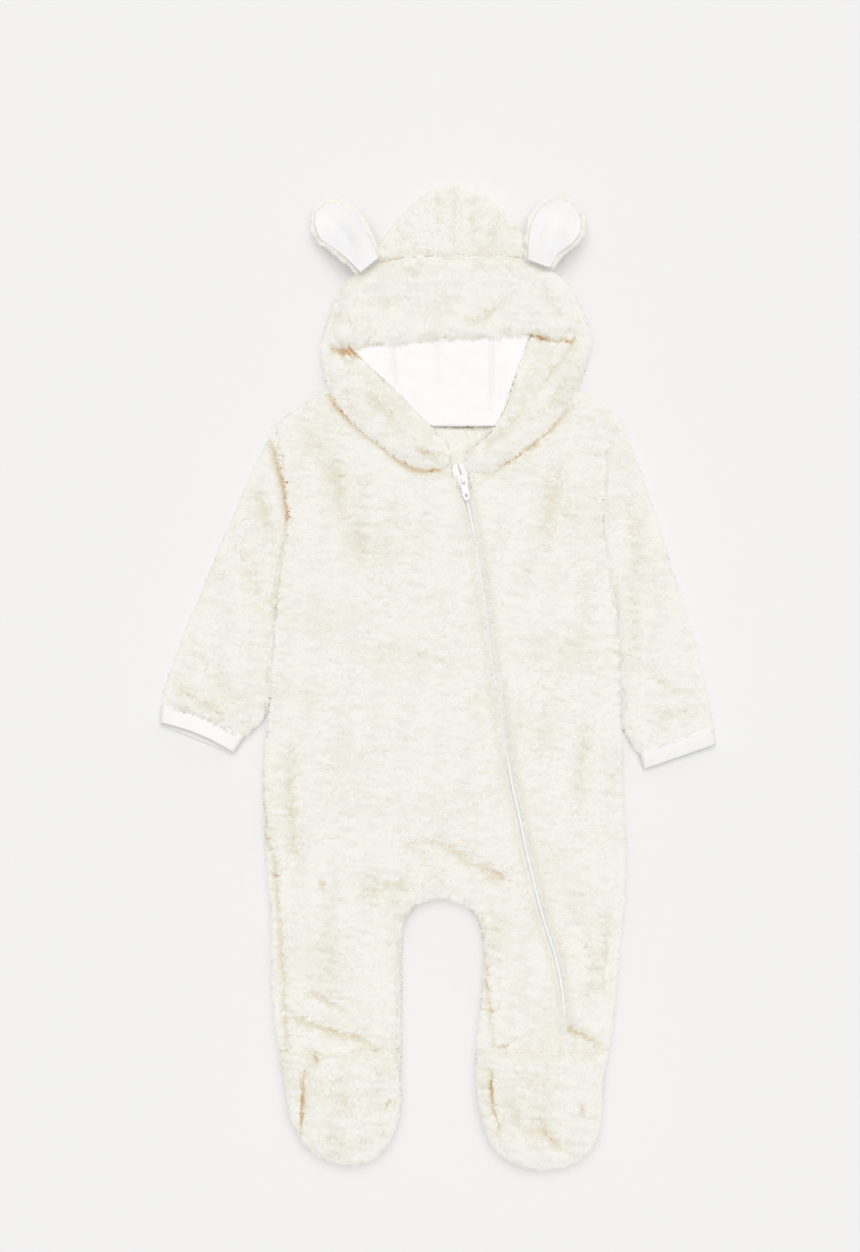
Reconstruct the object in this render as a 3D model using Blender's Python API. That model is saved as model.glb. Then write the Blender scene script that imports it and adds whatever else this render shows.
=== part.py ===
"""Baby's hooded plush sleepsuit with ears and closed feet, laid flat on its back, front up.

The suit lies in the XY plane: the head is towards +Y, the front faces +Z and the surface that it
rests on is Z = 0. "Right" and "left" are the wearer's, so the right side has negative X.
Sizes in the tables are in millimetres; the meshes are in metres.

Every panel is a piece of plush with its pile: an outline in plan, worked out from short tables of
the curves along which the pieces are sewn, and heights for its lower and upper surface. The back,
soles and the back of the hood lie on the ground, and the fronts, facings and foot tops on them.
"""

from collections import namedtuple

import bmesh
import bpy
import numpy as np

MM = 0.001

# Walls and levels
PLUSH = 8.0  # fleece of 1.5 mm with its pile
GAP = 0.3  # between neighbouring pieces
SHEET_TOP = PLUSH + GAP  # where whatever lies on the back begins
FRONT_TOP = 16.5
BELLY_RISE, ANKLE_RISE = 2.5, 3.0  # how much fuller the fronts are there
LINING = 1.5
RIM = (1.2, 5.0)  # how far in from an edge its rounding is stepped
NECK_SEAM = 0.5  # from the hood's foot to the back's neckline
CROWN_SLIT = 0.8  # between the two layers of the folded crown

# Heights at an edge, from which its rounding starts
BACK_EDGE, FRONT_EDGE = 5.0, 11.0  # of the outline
SEAM_LOW, SEAM_HIGH = 0.8, 12.5  # of a sewn edge
OUTLINE_ROUND, SEAM_ROUND = 6.5, 4.0

# Feet
FOOT_CROWN, FOOT_RISE = 21.0, 6.0
FOOT_ROUND, SOLE_ROUND = 17.0, 11.0
ANKLE_SEAM = 15.5

# Sleeves and cuffs
SLEEVE_LOW_END = 13.0
CUFF_HEIGHTS = (10.5, 9.5)
WALL_AT_EDGE = 0.8  # half the height of a tube along its long edges
SLEEVE_SLIT = 0.8
OPEN_MOUTH, CLOSED_MOUTH = 3.2, 1.2

# Hood
CROWN_TOP, CROWN_EDGE = 18.0, 11.5
BAND_TOP, LIP_RISE = 20.5, 3.0
FACING_LOW, FACING_RISE = 11.5, 11.0
FACING_CREST = 0.62  # share of the way from the lining to the outer edge

# Zip
LANE_FINE = 4.4  # opening between the fronts, down most of the zip
TAPE_WIDTH, TAPE = 8.0, 1.0
CHAIN_WIDTH, CHAIN = 2.6, 1.8
SLIDER_LENGTH, SLIDER_WIDTH, SLIDER_PLATE = 10.0, 8.0, 2.2
SLIDER_FROM_NECK = 15.0
ARCH_HALF, ARCH_INNER, ARCH_POST = 1.0, 1.2, 1.3  # half width, room round the pin, length of a post
ARCH_TOP = 2.4  # above the pin
PIN_RADIUS, PIN_ABOVE_PLATE = 0.7, 1.5
TAB_LENGTH, TAB_WIDTH, TAB_THICK = 17.0, 5.6, 1.4
TAB_EYE, TAB_ARM = 4.4, 1.5  # length of the eye, and half its width

# Seams and outlines: each is a smooth curve through these points
SHOULDER_RIGHT = [(-132, 206), (-117, 223), (-98, 233), (-87, 236)]
SHOULDER_LEFT = [(110, 235), (118, 233), (137, 224), (147, 210)]
ARMHOLE_RIGHT = [(-132, 206), (-127, 185), (-124, 162), (-121.5, 137), (-122.5, 115), (-127.5, 87.5)]
ARMHOLE_LEFT = [(147, 210), (139, 196), (136, 170), (135, 137), (135, 112), (138, 88)]
SIDE_RIGHT = [
    (-127.5, 87.5), (-130, 63), (-134, 22), (-136, -19), (-140.5, -52), (-143, -90), (-141, -134),
    (-137, -181),
]  # fmt: skip
SIDE_LEFT = [(138, 88), (143.5, 57), (147, 14), (148.5, -48), (150.5, -100), (152.5, -145), (152, -181)]
CROTCH_RIGHT = [(-137, -181), (-68, -181), (1, -181)]
CROTCH_MIDDLE = [(1, -181), (41, -181), (81.5, -181)]
CROTCH_LEFT = [(81.5, -181), (117, -181), (152, -181)]
LEG_RIGHT_OUTER = [(-137, -181), (-135, -216), (-135, -255), (-132, -289), (-129.5, -306)]
LEG_RIGHT_INNER = [(1, -181), (-11, -182.5), (-22, -189), (-29, -202), (-31, -221), (-31, -258), (-31, -306)]
LEG_LEFT_INNER = [(1, -181), (15, -182.5), (27, -188), (35, -200), (38, -221), (37, -258), (32.5, -306)]
LEG_LEFT_OUTER = [(152, -181), (148, -220), (145, -255), (143, -277), (138, -306)]
ANKLE_RIGHT = [(-129.5, -306), (-80, -307), (-31, -306)]
ANKLE_MIDDLE = [(32.5, -306), (70, -307), (106, -307)]
ANKLE_LEFT = [(106, -307), (122, -307), (138, -306)]
FOOT_RIGHT_OUTER = [(-129.5, -306), (-126, -327), (-123, -347), (-120, -363), (-113, -377)]
FOOT_RIGHT_INNER = [(-31, -306), (-32, -327), (-31, -347), (-34, -363), (-39, -377)]
TOE_RIGHT = [(-113, -377), (-104, -389), (-89, -396), (-73, -399.5), (-56, -396), (-46, -389), (-39, -377)]
FOOT_LEFT_INNER = [(32.5, -306), (32, -327), (33, -347), (37, -363), (42, -379)]
FOOT_LEFT_OUTER = [(138, -306), (135, -327), (133, -347), (132.5, -362), (129, -379)]
TOE_LEFT = [(42, -379), (51, -391), (66, -400), (85, -403.5), (106, -399.5), (121, -391), (129, -379)]

SLEEVE_RIGHT_OUTER = [(-132, 206), (-150, 170), (-175, 112), (-195, 63), (-212, 22), (-227, -23)]
SLEEVE_RIGHT_UNDER = [
    (-127.5, 87.5), (-132, 63), (-136, 22), (-138.5, -14), (-141.5, -32), (-150, -43), (-159, -50),
]  # fmt: skip
CUFF_RIGHT_TOP = [(-227, -23), (-201, -28), (-180, -38), (-159, -50)]
CUFF_RIGHT_END = [(-228, -39), (-205, -45), (-186, -53), (-168, -63)]
SLEEVE_LEFT_OUTER = [
    (147, 210), (154, 198), (165, 165), (178, 129), (190, 88), (206, 38), (219, -11), (225, -42),
]  # fmt: skip
SLEEVE_LEFT_UNDER = [(138, 88), (145.5, 57), (149.5, 14), (151.5, -30), (155, -52), (165, -63)]
CUFF_LEFT_TOP = [(165, -63), (185, -55), (205, -48), (225, -42)]
CUFF_LEFT_END = [(169, -77), (189, -70), (209, -63), (228, -56)]

BACK_NECK = [(-87, 236), (-48, 219), (-7, 207), (42, 207), (83, 218), (110, 235)]
NECK_RIGHT = [(-87, 236), (-77, 219), (-63, 205), (-46, 192), (-30, 180), (-14, 173), (10.2, 173.4)]
NECK_LEFT = [(21.8, 173.5), (34, 168), (48, 172), (60, 183), (76, 194), (92, 209), (104, 223), (110, 235)]
CHEEK_RIGHT_SIDE = [(-94.5, 272), (-95, 262), (-93, 248), (-87, 236)]
CHEEK_LEFT_SIDE = [(110, 235), (119, 250), (123.5, 263), (123.5, 278)]
CHEEK_RIGHT_LINED = [(-71, 272), (-61, 260), (-49, 249), (-31, 232), (-15, 215), (-5, 207)]
CHEEK_RIGHT_OPEN = [(-5, 207), (1, 199), (10, 188)]
CHEEK_LEFT_LINED = [(74, 281), (69, 265), (60, 242), (54, 222), (46.5, 207)]
CHEEK_LEFT_OPEN = [(46.5, 207), (36, 195), (22, 186)]
LIP_RIGHT = [(-94.5, 272), (-84, 275), (-71, 272)]
LIP_MIDDLE = [(-71, 272), (-38, 275.5), (-13, 278), (10, 280), (42, 281), (60, 284), (74, 281)]
LIP_LEFT = [(74, 281), (95, 279), (112, 283), (123.5, 278)]
BAND_RIGHT_SIDE = [(-52, 338), (-72, 329), (-84, 309), (-91, 285), (-94.5, 272)]
BAND_LEFT_SIDE = [(74, 342), (97, 330), (112, 311), (121.5, 289), (123.5, 278)]
CROWN_SEAM_RIGHT = [(-52, 338), (-40, 341.5), (-15, 344), (14, 345)]
CROWN_SEAM_LEFT = [(14, 345), (42, 345), (62, 344), (74, 342)]
CROWN_RIGHT = [(-54, 343), (-45, 355), (-35.5, 370), (-22, 384), (-7, 396), (14, 403)]
CROWN_LEFT = [(14, 403), (33, 396.5), (49, 385), (61, 373), (71, 358), (76, 347)]
HOOD_MIDDLE = (14, 206.5)  # where the hood's centre seam meets the back's neckline
LINING_TOP = [(-52, 328), (14, 336), (78, 328)]
LINING_RIGHT = [(-52, 328), (-68, 305), (-73, 288), (-71, 272)]
LINING_LEFT = [(78, 328), (84, 310), (80, 294), (74, 281)]
LINING_FOOT = [(-5, 207), (20, 206.5), (46.5, 207)]

ZIP_LINE = [
    (16, 175), (19.5, 163), (23, 147), (28, 124), (34, 88), (40, 47), (45, 6), (51, -27), (60, -85),
    (67, -117), (74, -150), (81.5, -181), (88, -204), (96, -229), (101, -253), (104, -281), (106, -307),
]  # fmt: skip
ZIP_END = -283  # Y where the zip stops and the fronts are sewn together
ZIP_CROTCH = -181

LaneRow = namedtuple("LaneRow", "along width")
LANE = [  # opening between the fronts, from the neck down the zip
    LaneRow(0, 12),
    LaneRow(12, 12),
    LaneRow(22, 9),
    LaneRow(36, LANE_FINE),
    LaneRow(250, LANE_FINE),
    LaneRow(330, 5),
    LaneRow(450, LANE_FINE),
    LaneRow(472, LANE_FINE),
    LaneRow(486, GAP),
    LaneRow(520, GAP),
]

Fold = namedtuple("Fold", "start end width depth")
FOLDS = [  # soft troughs in the upper surface; a negative depth is a ridge
    Fold((-101, 203), (-56, 96), 16, 2.6),
    Fold((91, 165), (84, 102), 12, 2.4),
    Fold((-117, -52), (-118, -150), 10, 2.0),
    Fold((-40, 60), (20, 30), 20, 1.4),
    Fold((-50, -10), (30, -60), 22, -1.6),
    Fold((-7, -134), (51, -167), 9, 2.4),
    Fold((42, -150), (60, -172), 6, 1.6),
    Fold((-105, -257), (-77, -273), 6, 2.6),
    Fold((-122, -277), (-48, -302), 7, 3.0),
    Fold((104, -285), (131, -300), 6, 3.0),
    Fold((48, -262), (36, -270), 5, 2.0),
    Fold((-110, -322), (-113, -366), 5, 7.0),
    Fold((43, -322), (48, -367), 5, 7.0),
    Fold((79, -362), (104, -386), 7, 4.0),
    Fold((-45, -342), (-53, -376), 6, 3.5),
    Fold((53, 312), (29, 291), 6, 3.0),
    Fold((-54, 311), (-34, 309), 9, 2.0),
    Fold((-165, 120), (-138, 60), 12, 2.2),
    Fold((150, 150), (172, 60), 12, 2.2),
    Fold((-200, 5), (-160, -20), 8, 1.6),
]

EarRow = namedtuple("EarRow", "along before after floor")
EAR_RIGHT = [  # half widths towards the hood's middle and away from it, along the ear
    EarRow(0, 12.5, 12.5, 18.6),
    EarRow(15, 16.5, 14, 17.5),
    EarRow(30, 20, 17, 11.0),
    EarRow(42, 21.5, 20.5, 6.5),
    EarRow(52, 19, 18.5, 5.5),
    EarRow(60, 12.5, 12.5, 6.0),
    EarRow(66, 5.0, 5.5, 6.5),
]
EAR_LEFT = [
    EarRow(0, 12.5, 12.5, 18.0),
    EarRow(13, 17, 15, 17.3),
    EarRow(25, 19.5, 23, 12.5),
    EarRow(36, 20, 26.5, 7.0),
    EarRow(47, 16.5, 23.5, 5.5),
    EarRow(55, 10, 15, 6.0),
    EarRow(60, 3.0, 7.0, 6.5),
]
EAR_ROOT_RIGHT, EAR_TIP_RIGHT = (-56, 336), (-96, 385)
EAR_ROOT_LEFT, EAR_TIP_LEFT = (82, 337), (101, 389)
EAR_PILE, EAR_JERSEY, EAR_SEAM, EAR_BORDER, EAR_CUP = 5.5, 1.6, 0.6, 3.0, 4.0

Edge = namedtuple("Edge", "line radius top bottom")
Finish = namedtuple("Finish", "colour roughness metallic")
FLEECE = Finish((0.87, 0.84, 0.76), 0.95, 0.0)
JERSEY = Finish((0.96, 0.96, 0.96), 0.85, 0.0)
ZIP_PLASTIC = Finish((0.93, 0.93, 0.92), 0.45, 0.0)


# ---------------------------------------------------------------- curves


def smooth(points, per_span=10):
    """A dense Catmull-Rom line through the points."""
    p = np.array(points, float)
    p = np.vstack([2 * p[0] - p[1], p, 2 * p[-1] - p[-2]])
    t = np.linspace(0, 1, per_span, endpoint=False)[:, None]
    spans = []
    for a, b, c, d in zip(p, p[1:], p[2:], p[3:]):
        bend = (2 * a - 5 * b + 4 * c - d) * t**2 + (3 * b - a - 3 * c + d) * t**3
        spans.append(0.5 * (2 * b + (c - a) * t + bend))
    return np.vstack(spans + [p[-2:-1]])


def distance_along(line):
    return np.concatenate([[0], np.cumsum(np.linalg.norm(np.diff(line, axis=0), axis=1))])


def spread(length, count):
    """count places along a length, with the rim's steps at both ends."""
    rim = np.array([0, *RIM]) * min(1, length / (3 * RIM[-1]))
    inner = np.linspace(rim[-1], length - rim[-1], count - 2 * len(rim) + 2)
    return np.concatenate([rim[:-1], inner, length - rim[-2::-1]])


def at(line, places):
    along = distance_along(line)
    return np.column_stack([np.interp(places, along, line[:, k]) for k in (0, 1)])


def walk(points, count):
    """count points along the smooth curve."""
    line = smooth(points)
    return at(line, spread(distance_along(line)[-1], count))


def straight(start, end, count):
    """count points along a straight line."""
    return at(np.array([start, end]), spread(np.linalg.norm(end - start), count))


def join(*lines):
    return np.vstack([lines[0]] + [line[1:] for line in lines[1:]])


def aside(line, distance):
    """The line moved to its right-hand side by a distance, or one distance for each point."""
    way = np.gradient(line, axis=0)
    way /= np.linalg.norm(way, axis=1)[:, None]
    return line + np.column_stack([way[:, 1], -way[:, 0]]) * np.reshape(distance, (-1, 1))


def patch(top, bottom, left, right):
    """A four-sided grid between its borders, rows from top to bottom (a Coons patch)."""
    u = sum(distance_along(b) / distance_along(b)[-1] for b in (top, bottom)) / 2
    v = sum(distance_along(b) / distance_along(b)[-1] for b in (left, right)) / 2
    u, v = u[None, :, None], v[:, None, None]
    across = (1 - v) * top[None] + v * bottom[None]
    down = (1 - u) * left[:, None] + u * right[:, None]
    corners = (1 - v) * ((1 - u) * top[0] + u * top[-1]) + v * ((1 - u) * bottom[0] + u * bottom[-1])
    return across + down - corners


def to_line(points, line):
    """Distance from each point to the nearest place on the line."""
    a, b = line[:-1], line[1:]
    ab = b - a
    t = np.einsum("pij,ij->pi", points[:, None] - a[None], ab) / np.maximum((ab**2).sum(1), 1e-9)
    near = a[None] + np.clip(t, 0, 1)[..., None] * ab[None]
    return np.linalg.norm(points[:, None] - near, axis=2).min(axis=1)


# ---------------------------------------------------------------- heights


def roll(distance, radius):
    """0 at an edge and 1 from radius inwards, round as a quarter circle."""
    t = np.clip(1 - distance / radius, 0, 1)
    return np.sqrt(1 - t * t)


def fold_depth(points):
    depth = np.zeros(len(points))
    for fold in FOLDS:
        away = to_line(points, np.array([fold.start, fold.end], float))
        depth += fold.depth * np.exp(-((away / fold.width) ** 2))
    return depth


def top_of(points, crown, edges, folded=True):
    """Upper heights: the crown less the folds, rolled down to each edge's top."""
    height = np.full(len(points), float(crown)) if np.isscalar(crown) else crown.copy()
    if folded:
        height -= fold_depth(points)
    found = height
    for edge in edges:
        part = roll(to_line(points, edge.line), edge.radius)
        found = np.minimum(found, edge.top + (height - edge.top) * part)
    return found


def bottom_of(points, floor, edges):
    """Lower heights: the floor, rolled up to each edge's bottom."""
    height = np.full(len(points), float(floor)) if np.isscalar(floor) else floor.copy()
    found = height
    for edge in edges:
        part = roll(to_line(points, edge.line), edge.radius)
        found = np.maximum(found, edge.bottom + (height - edge.bottom) * part)
    return found


# ---------------------------------------------------------------- solids


class Sheet:
    """A piece of cloth in plan: four-sided faces from grids that share their borders."""

    def __init__(self, *grids, inset=GAP / 2):
        places, self.faces, self.cells = {}, [], []
        for grid in grids:
            rows, columns = grid.shape[:2]
            keys = np.round(grid, 2)
            number = np.array([[places.setdefault(tuple(k), len(places)) for k in row] for row in keys])
            for i in range(rows - 1):
                for j in range(columns - 1):
                    corners = number[i, j], number[i + 1, j], number[i + 1, j + 1], number[i, j + 1]
                    self.faces.append(corners)
                    self.cells.append((i, j, rows - 1, columns - 1))
        self.points = np.array(list(places), float)
        self.sides = {}
        for number, face in enumerate(self.faces):
            for a, b in zip(face, face[1:] + face[:1]):
                self.sides[a, b] = number
        self.draw_in(inset)

    def border(self):
        """The sides with cloth on one hand only, running with the cloth on their left."""
        return [side for side in self.sides if side[::-1] not in self.sides]

    def draw_in(self, inset):
        """Moves the border inwards, so that the pieces on both hands of a seam stay apart."""
        normals = {}
        for a, b in self.border():
            way = self.points[b] - self.points[a]
            inward = np.array([-way[1], way[0]]) / np.linalg.norm(way)
            for end in (a, b):
                normals.setdefault(end, []).append(inward)
        for end, found in normals.items():
            mean = np.mean(found, axis=0)
            self.points[end] += mean / max((mean**2).sum(), 0.3) * inset


def solid(name, sheet, levels, filled, finish):
    """A closed solid of prisms over the sheet's faces: filled[k] says for each face whether the
    space between heights levels[k] and levels[k + 1] is cloth."""
    layers, number = len(filled), {}
    bm = bmesh.new()

    def corner(point, level):
        if (point, level) not in number:
            x, y = sheet.points[point]
            number[point, level] = bm.verts.new((x * MM, y * MM, levels[level][point] * MM))
        return number[point, level]

    for k in range(layers):
        for f, face in enumerate(sheet.faces):
            if not filled[k][f]:
                continue
            if k == layers - 1 or not filled[k + 1][f]:
                bm.faces.new([corner(p, k + 1) for p in face])
            if k == 0 or not filled[k - 1][f]:
                bm.faces.new([corner(p, k) for p in face[::-1]])
            for a, b in zip(face, face[1:] + face[:1]):
                beyond = sheet.sides.get((b, a))
                if beyond is None or not filled[k][beyond]:
                    bm.faces.new([corner(a, k), corner(b, k), corner(b, k + 1), corner(a, k + 1)])
    return finished(name, bm, finish)


def finished(name, bm, finish, smooth_angle=0.9):
    """Makes the object from the bmesh, with its material."""
    mesh = bpy.data.meshes.new(name)
    bm.to_mesh(mesh)
    bm.free()
    mesh.shade_smooth()
    mesh.set_sharp_from_angle(angle=smooth_angle)
    mesh.materials.append(material(finish))
    obj = bpy.data.objects.new(name, mesh)
    bpy.context.scene.collection.objects.link(obj)
    return obj


def material(finish):
    name = "finish_%02x%02x%02x" % tuple(round(c * 255) for c in finish.colour)
    if name not in bpy.data.materials:
        made = bpy.data.materials.new(name)
        made.use_nodes = True
        shader = made.node_tree.nodes["Principled BSDF"]
        shader.inputs["Base Color"].default_value = (*finish.colour, 1)
        shader.inputs["Roughness"].default_value = finish.roughness
        shader.inputs["Metallic"].default_value = finish.metallic
    return bpy.data.materials[name]


def slab(name, sheet, bottom, top, finish=FLEECE):
    return solid(name, sheet, [bottom, top], [[True] * len(sheet.faces)], finish)


# ---------------------------------------------------------------- shared borders

shoulder = {"right": walk(SHOULDER_RIGHT, 6), "left": walk(SHOULDER_LEFT, 6)}
armhole = {"right": walk(ARMHOLE_RIGHT, 11), "left": walk(ARMHOLE_LEFT, 11)}
side = {"right": walk(SIDE_RIGHT, 18), "left": walk(SIDE_LEFT, 18)}
crotch = {"right": walk(CROTCH_RIGHT, 11), "middle": walk(CROTCH_MIDDLE, 8), "left": walk(CROTCH_LEFT, 7)}
ankle = {"right": walk(ANKLE_RIGHT, 11), "middle": walk(ANKLE_MIDDLE, 8), "left": walk(ANKLE_LEFT, 7)}
leg_outer = {"right": walk(LEG_RIGHT_OUTER, 13), "left": walk(LEG_LEFT_OUTER, 13)}
leg_inner = {"right": walk(LEG_RIGHT_INNER, 13), "left": walk(LEG_LEFT_INNER, 13)}
lined = {"right": walk(CHEEK_RIGHT_LINED, 12), "left": walk(CHEEK_LEFT_LINED, 10)}
opened = {"right": walk(CHEEK_RIGHT_OPEN, 7), "left": walk(CHEEK_LEFT_OPEN, 7)}
lip = {"right": walk(LIP_RIGHT, 7), "middle": walk(LIP_MIDDLE, 9), "left": walk(LIP_LEFT, 9)}
crown_seam = {"right": walk(CROWN_SEAM_RIGHT, 12), "left": walk(CROWN_SEAM_LEFT, 12)}

zip_line = smooth(ZIP_LINE)
zip_along = distance_along(zip_line)
zip_crotch_at = np.interp(-ZIP_CROTCH, -zip_line[:, 1], zip_along)
zip_end_at = np.interp(-ZIP_END, -zip_line[:, 1], zip_along)


def lane_half(places):
    return np.interp(places, [row.along for row in LANE], [row.width for row in LANE]) / 2


def zip_edge(hand, start, end, count):
    """The edge of a front along the zip, between two places along it."""
    places = start + spread(end - start, count)
    sign = 1 if hand == "right" else -1
    return aside(at(zip_line, places), sign * (lane_half(places) - GAP / 2))


def meet(points, count, first=None, last=None):
    """A walk along the curve whose ends are moved to a neighbour's corners."""
    points = list(points)
    if first is not None:
        points[0] = first
    if last is not None:
        points[-1] = last
    return walk(points, count)


ZIP_ROWS = 28
zip_upper = {hand: zip_edge(hand, 0, zip_crotch_at, ZIP_ROWS) for hand in ("right", "left")}
neck = {
    "right": meet(NECK_RIGHT, 13, last=zip_upper["right"][0]),
    "left": meet(NECK_LEFT, 11, first=zip_upper["left"][0]),
}

# ---------------------------------------------------------------- body


def body_edges(*lines, top, bottom, radius=OUTLINE_ROUND):
    return [Edge(line, radius, top, bottom) for line in lines]


def seam_edges(*lines, top=SEAM_HIGH, bottom=SEAM_LOW, radius=SEAM_ROUND):
    return [Edge(line, radius, top, bottom) for line in lines]


def make_back():
    torso = patch(
        join(shoulder["right"], walk(BACK_NECK, 14), shoulder["left"]),
        join(crotch["right"], crotch["middle"], crotch["left"]),
        join(armhole["right"], side["right"]),
        join(armhole["left"], side["left"]),
    )
    leg_right = patch(crotch["right"], ankle["right"], leg_outer["right"], leg_inner["right"])
    leg_left = patch(
        join(crotch["middle"], crotch["left"]),
        join(ankle["middle"], ankle["left"]),
        leg_inner["left"],
        leg_outer["left"],
    )
    sheet = Sheet(torso, leg_right, leg_left)
    outer = [*side.values(), *leg_outer.values(), *leg_inner.values(), *shoulder.values()]
    edges = body_edges(*outer, top=PLUSH, bottom=BACK_EDGE)
    edges += seam_edges(*armhole.values(), walk(BACK_NECK, 14), ankle["right"], top=PLUSH)
    edges += seam_edges(join(ankle["middle"], ankle["left"]), top=PLUSH)
    slab("back", sheet, bottom_of(sheet.points, 0, edges), np.full(len(sheet.points), PLUSH))


def zip_bed(points):
    """How much a front's underside is lifted along the zip, to make room for the tape."""
    away = to_line(points, zip_line)
    return np.where((away < 2.5 * TAPE_WIDTH) & (points[:, 1] > ZIP_END - 20), TAPE + GAP, 0)


def front_top(points):
    """Crown of the fronts: a little fuller over the belly and towards the ankles."""
    x, y = points.T
    belly = BELLY_RISE * np.exp(-(((x - 5) / 110) ** 2) - ((y + 30) / 120) ** 2)
    ankle_rise = ANKLE_RISE * np.clip((-230 - y) / 70, 0, 1)
    return FRONT_TOP + belly + ankle_rise


def make_front(name, grids, silhouette, seams, zip_edges):
    sheet = Sheet(*grids)
    edges = body_edges(*silhouette, top=FRONT_EDGE, bottom=SHEET_TOP)
    edges += seam_edges(*seams, *zip_edges, bottom=SHEET_TOP)
    top = top_of(sheet.points, front_top(sheet.points), edges)
    slab(name, sheet, SHEET_TOP + zip_bed(sheet.points), top)


def make_fronts():
    edge = zip_upper
    low_edge = {hand: zip_edge(hand, zip_crotch_at, zip_along[-1], 13) for hand in ("right", "left")}
    for hand in ("right", "left"):
        low_edge[hand][0] = edge[hand][-1]
    middle = meet(CROTCH_MIDDLE, 8, last=edge["right"][-1])
    ankle_middle = meet(ANKLE_MIDDLE, 8, last=low_edge["right"][-1])
    torso = patch(
        join(shoulder["right"], neck["right"]),
        join(crotch["right"], middle),
        join(armhole["right"], side["right"]),
        edge["right"],
    )
    leg = patch(crotch["right"], ankle["right"], leg_outer["right"], leg_inner["right"])
    inner = patch(middle, ankle_middle, leg_inner["left"], low_edge["right"])
    make_front(
        "front_right",
        [torso, leg, inner],
        [shoulder["right"], side["right"], leg_outer["right"], *leg_inner.values()],
        [armhole["right"], neck["right"], ankle["right"], ankle["middle"]],
        [edge["right"], low_edge["right"]],
    )
    strip_top = join(neck["left"], shoulder["left"])
    waist = meet(CROTCH_LEFT, len(strip_top), first=edge["left"][-1])
    hem = meet(ANKLE_LEFT, len(strip_top), first=low_edge["left"][-1])
    torso = patch(strip_top, waist, edge["left"], join(armhole["left"], side["left"]))
    leg = patch(waist, hem, low_edge["left"], leg_outer["left"])
    make_front(
        "front_left",
        [torso, leg],
        [shoulder["left"], side["left"], leg_outer["left"]],
        [armhole["left"], neck["left"], ankle["left"]],
        [edge["left"], low_edge["left"]],
    )


def make_foot(hand, outer, inner, toe, top_row):
    """A foot's upper over its sole: both follow the same outline."""
    rows = 11
    outer, inner = walk(outer, rows), walk(inner, rows)
    left, right = (outer, inner) if hand == "right" else (inner, outer)
    toe = walk(toe, len(top_row))
    sheet = Sheet(patch(top_row, toe, left, right))
    outline = [outer, inner, toe]
    upper = [Edge(line, FOOT_ROUND, SEAM_HIGH, SHEET_TOP) for line in outline]
    upper.append(Edge(top_row, OUTLINE_ROUND, ANKLE_SEAM, SHEET_TOP))
    middle = np.array([np.mean([top_row[0, 0], top_row[-1, 0]]), -350])
    away = np.linalg.norm((sheet.points - middle) / (75, 60), axis=1)
    crown = FOOT_CROWN + FOOT_RISE * np.exp(-(away**2))
    slab(
        "foot_top_" + hand,
        sheet,
        np.full(len(sheet.points), SHEET_TOP),
        top_of(sheet.points, crown, upper),
    )
    lower = [Edge(line, SOLE_ROUND, PLUSH, BACK_EDGE) for line in outline] + seam_edges(top_row)
    slab("sole_" + hand, sheet, bottom_of(sheet.points, 0, lower), np.full(len(sheet.points), PLUSH))


# ---------------------------------------------------------------- sleeves


def flat_tube(name, grid, ends, heights, rim, mouth, finish):
    """A tube pressed flat: closed along its long edges, with a slit between its two walls.
    heights and mouth give its height and the slit's, at the first and the last row."""
    sheet = Sheet(grid)
    long_edges = [grid[:, 0], grid[:, -1]]
    start, end = (to_line(sheet.points, line) for line in (grid[0], grid[-1]))
    share = start / (start + end)
    height = heights[0] + (heights[1] - heights[0]) * share
    middle = height / 2
    slit = mouth[0] + (mouth[1] - mouth[0]) * np.clip(share * 4 - 3, 0, 1)
    away = np.min([to_line(sheet.points, line) for line in long_edges], axis=0)
    part = roll(away, rim)
    low = (middle - WALL_AT_EDGE) * (1 - part)
    edge = middle + WALL_AT_EDGE
    high = edge + (height - edge) * part - fold_depth(sheet.points) * part
    for line, drop in ends:
        high -= drop * (1 - roll(to_line(sheet.points, line), SEAM_ROUND)) * part
    columns = grid.shape[1] - 1
    solid_rim = [not 2 <= j < columns - 2 for _, j, _, _ in sheet.cells]
    walls = [True] * len(sheet.faces)
    levels = [low, middle - slit / 2, middle + slit / 2, high]
    return solid(name, sheet, levels, [walls, solid_rim, walls], finish)


def make_sleeves():
    rows = 13
    for hand, outer, under, top, end, mouth in (
        ("right", SLEEVE_RIGHT_OUTER, SLEEVE_RIGHT_UNDER, CUFF_RIGHT_TOP, CUFF_RIGHT_END, OPEN_MOUTH),
        ("left", SLEEVE_LEFT_OUTER, SLEEVE_LEFT_UNDER, CUFF_LEFT_TOP, CUFF_LEFT_END, CLOSED_MOUTH),
    ):
        head = armhole[hand] if hand == "right" else armhole[hand][::-1]
        cuff = walk(top, len(head))
        outer, under = walk(outer, rows), walk(under, rows)
        left, right = (outer, under) if hand == "right" else (under, outer)
        flat_tube(
            "sleeve_" + hand,
            patch(head, cuff, left, right),
            [(head, FRONT_TOP - SEAM_HIGH)],
            (FRONT_TOP, SLEEVE_LOW_END),
            OUTLINE_ROUND,
            (SLEEVE_SLIT, mouth),
            FLEECE,
        )
        hem = walk(end, len(head))
        sides = [np.linspace(cuff[k], hem[k], 5) for k in (0, -1)]
        flat_tube(
            "cuff_" + hand,
            patch(cuff, hem, *sides),
            [],
            CUFF_HEIGHTS,
            SEAM_ROUND,
            (mouth, mouth),
            JERSEY,
        )


# ---------------------------------------------------------------- hood


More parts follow.
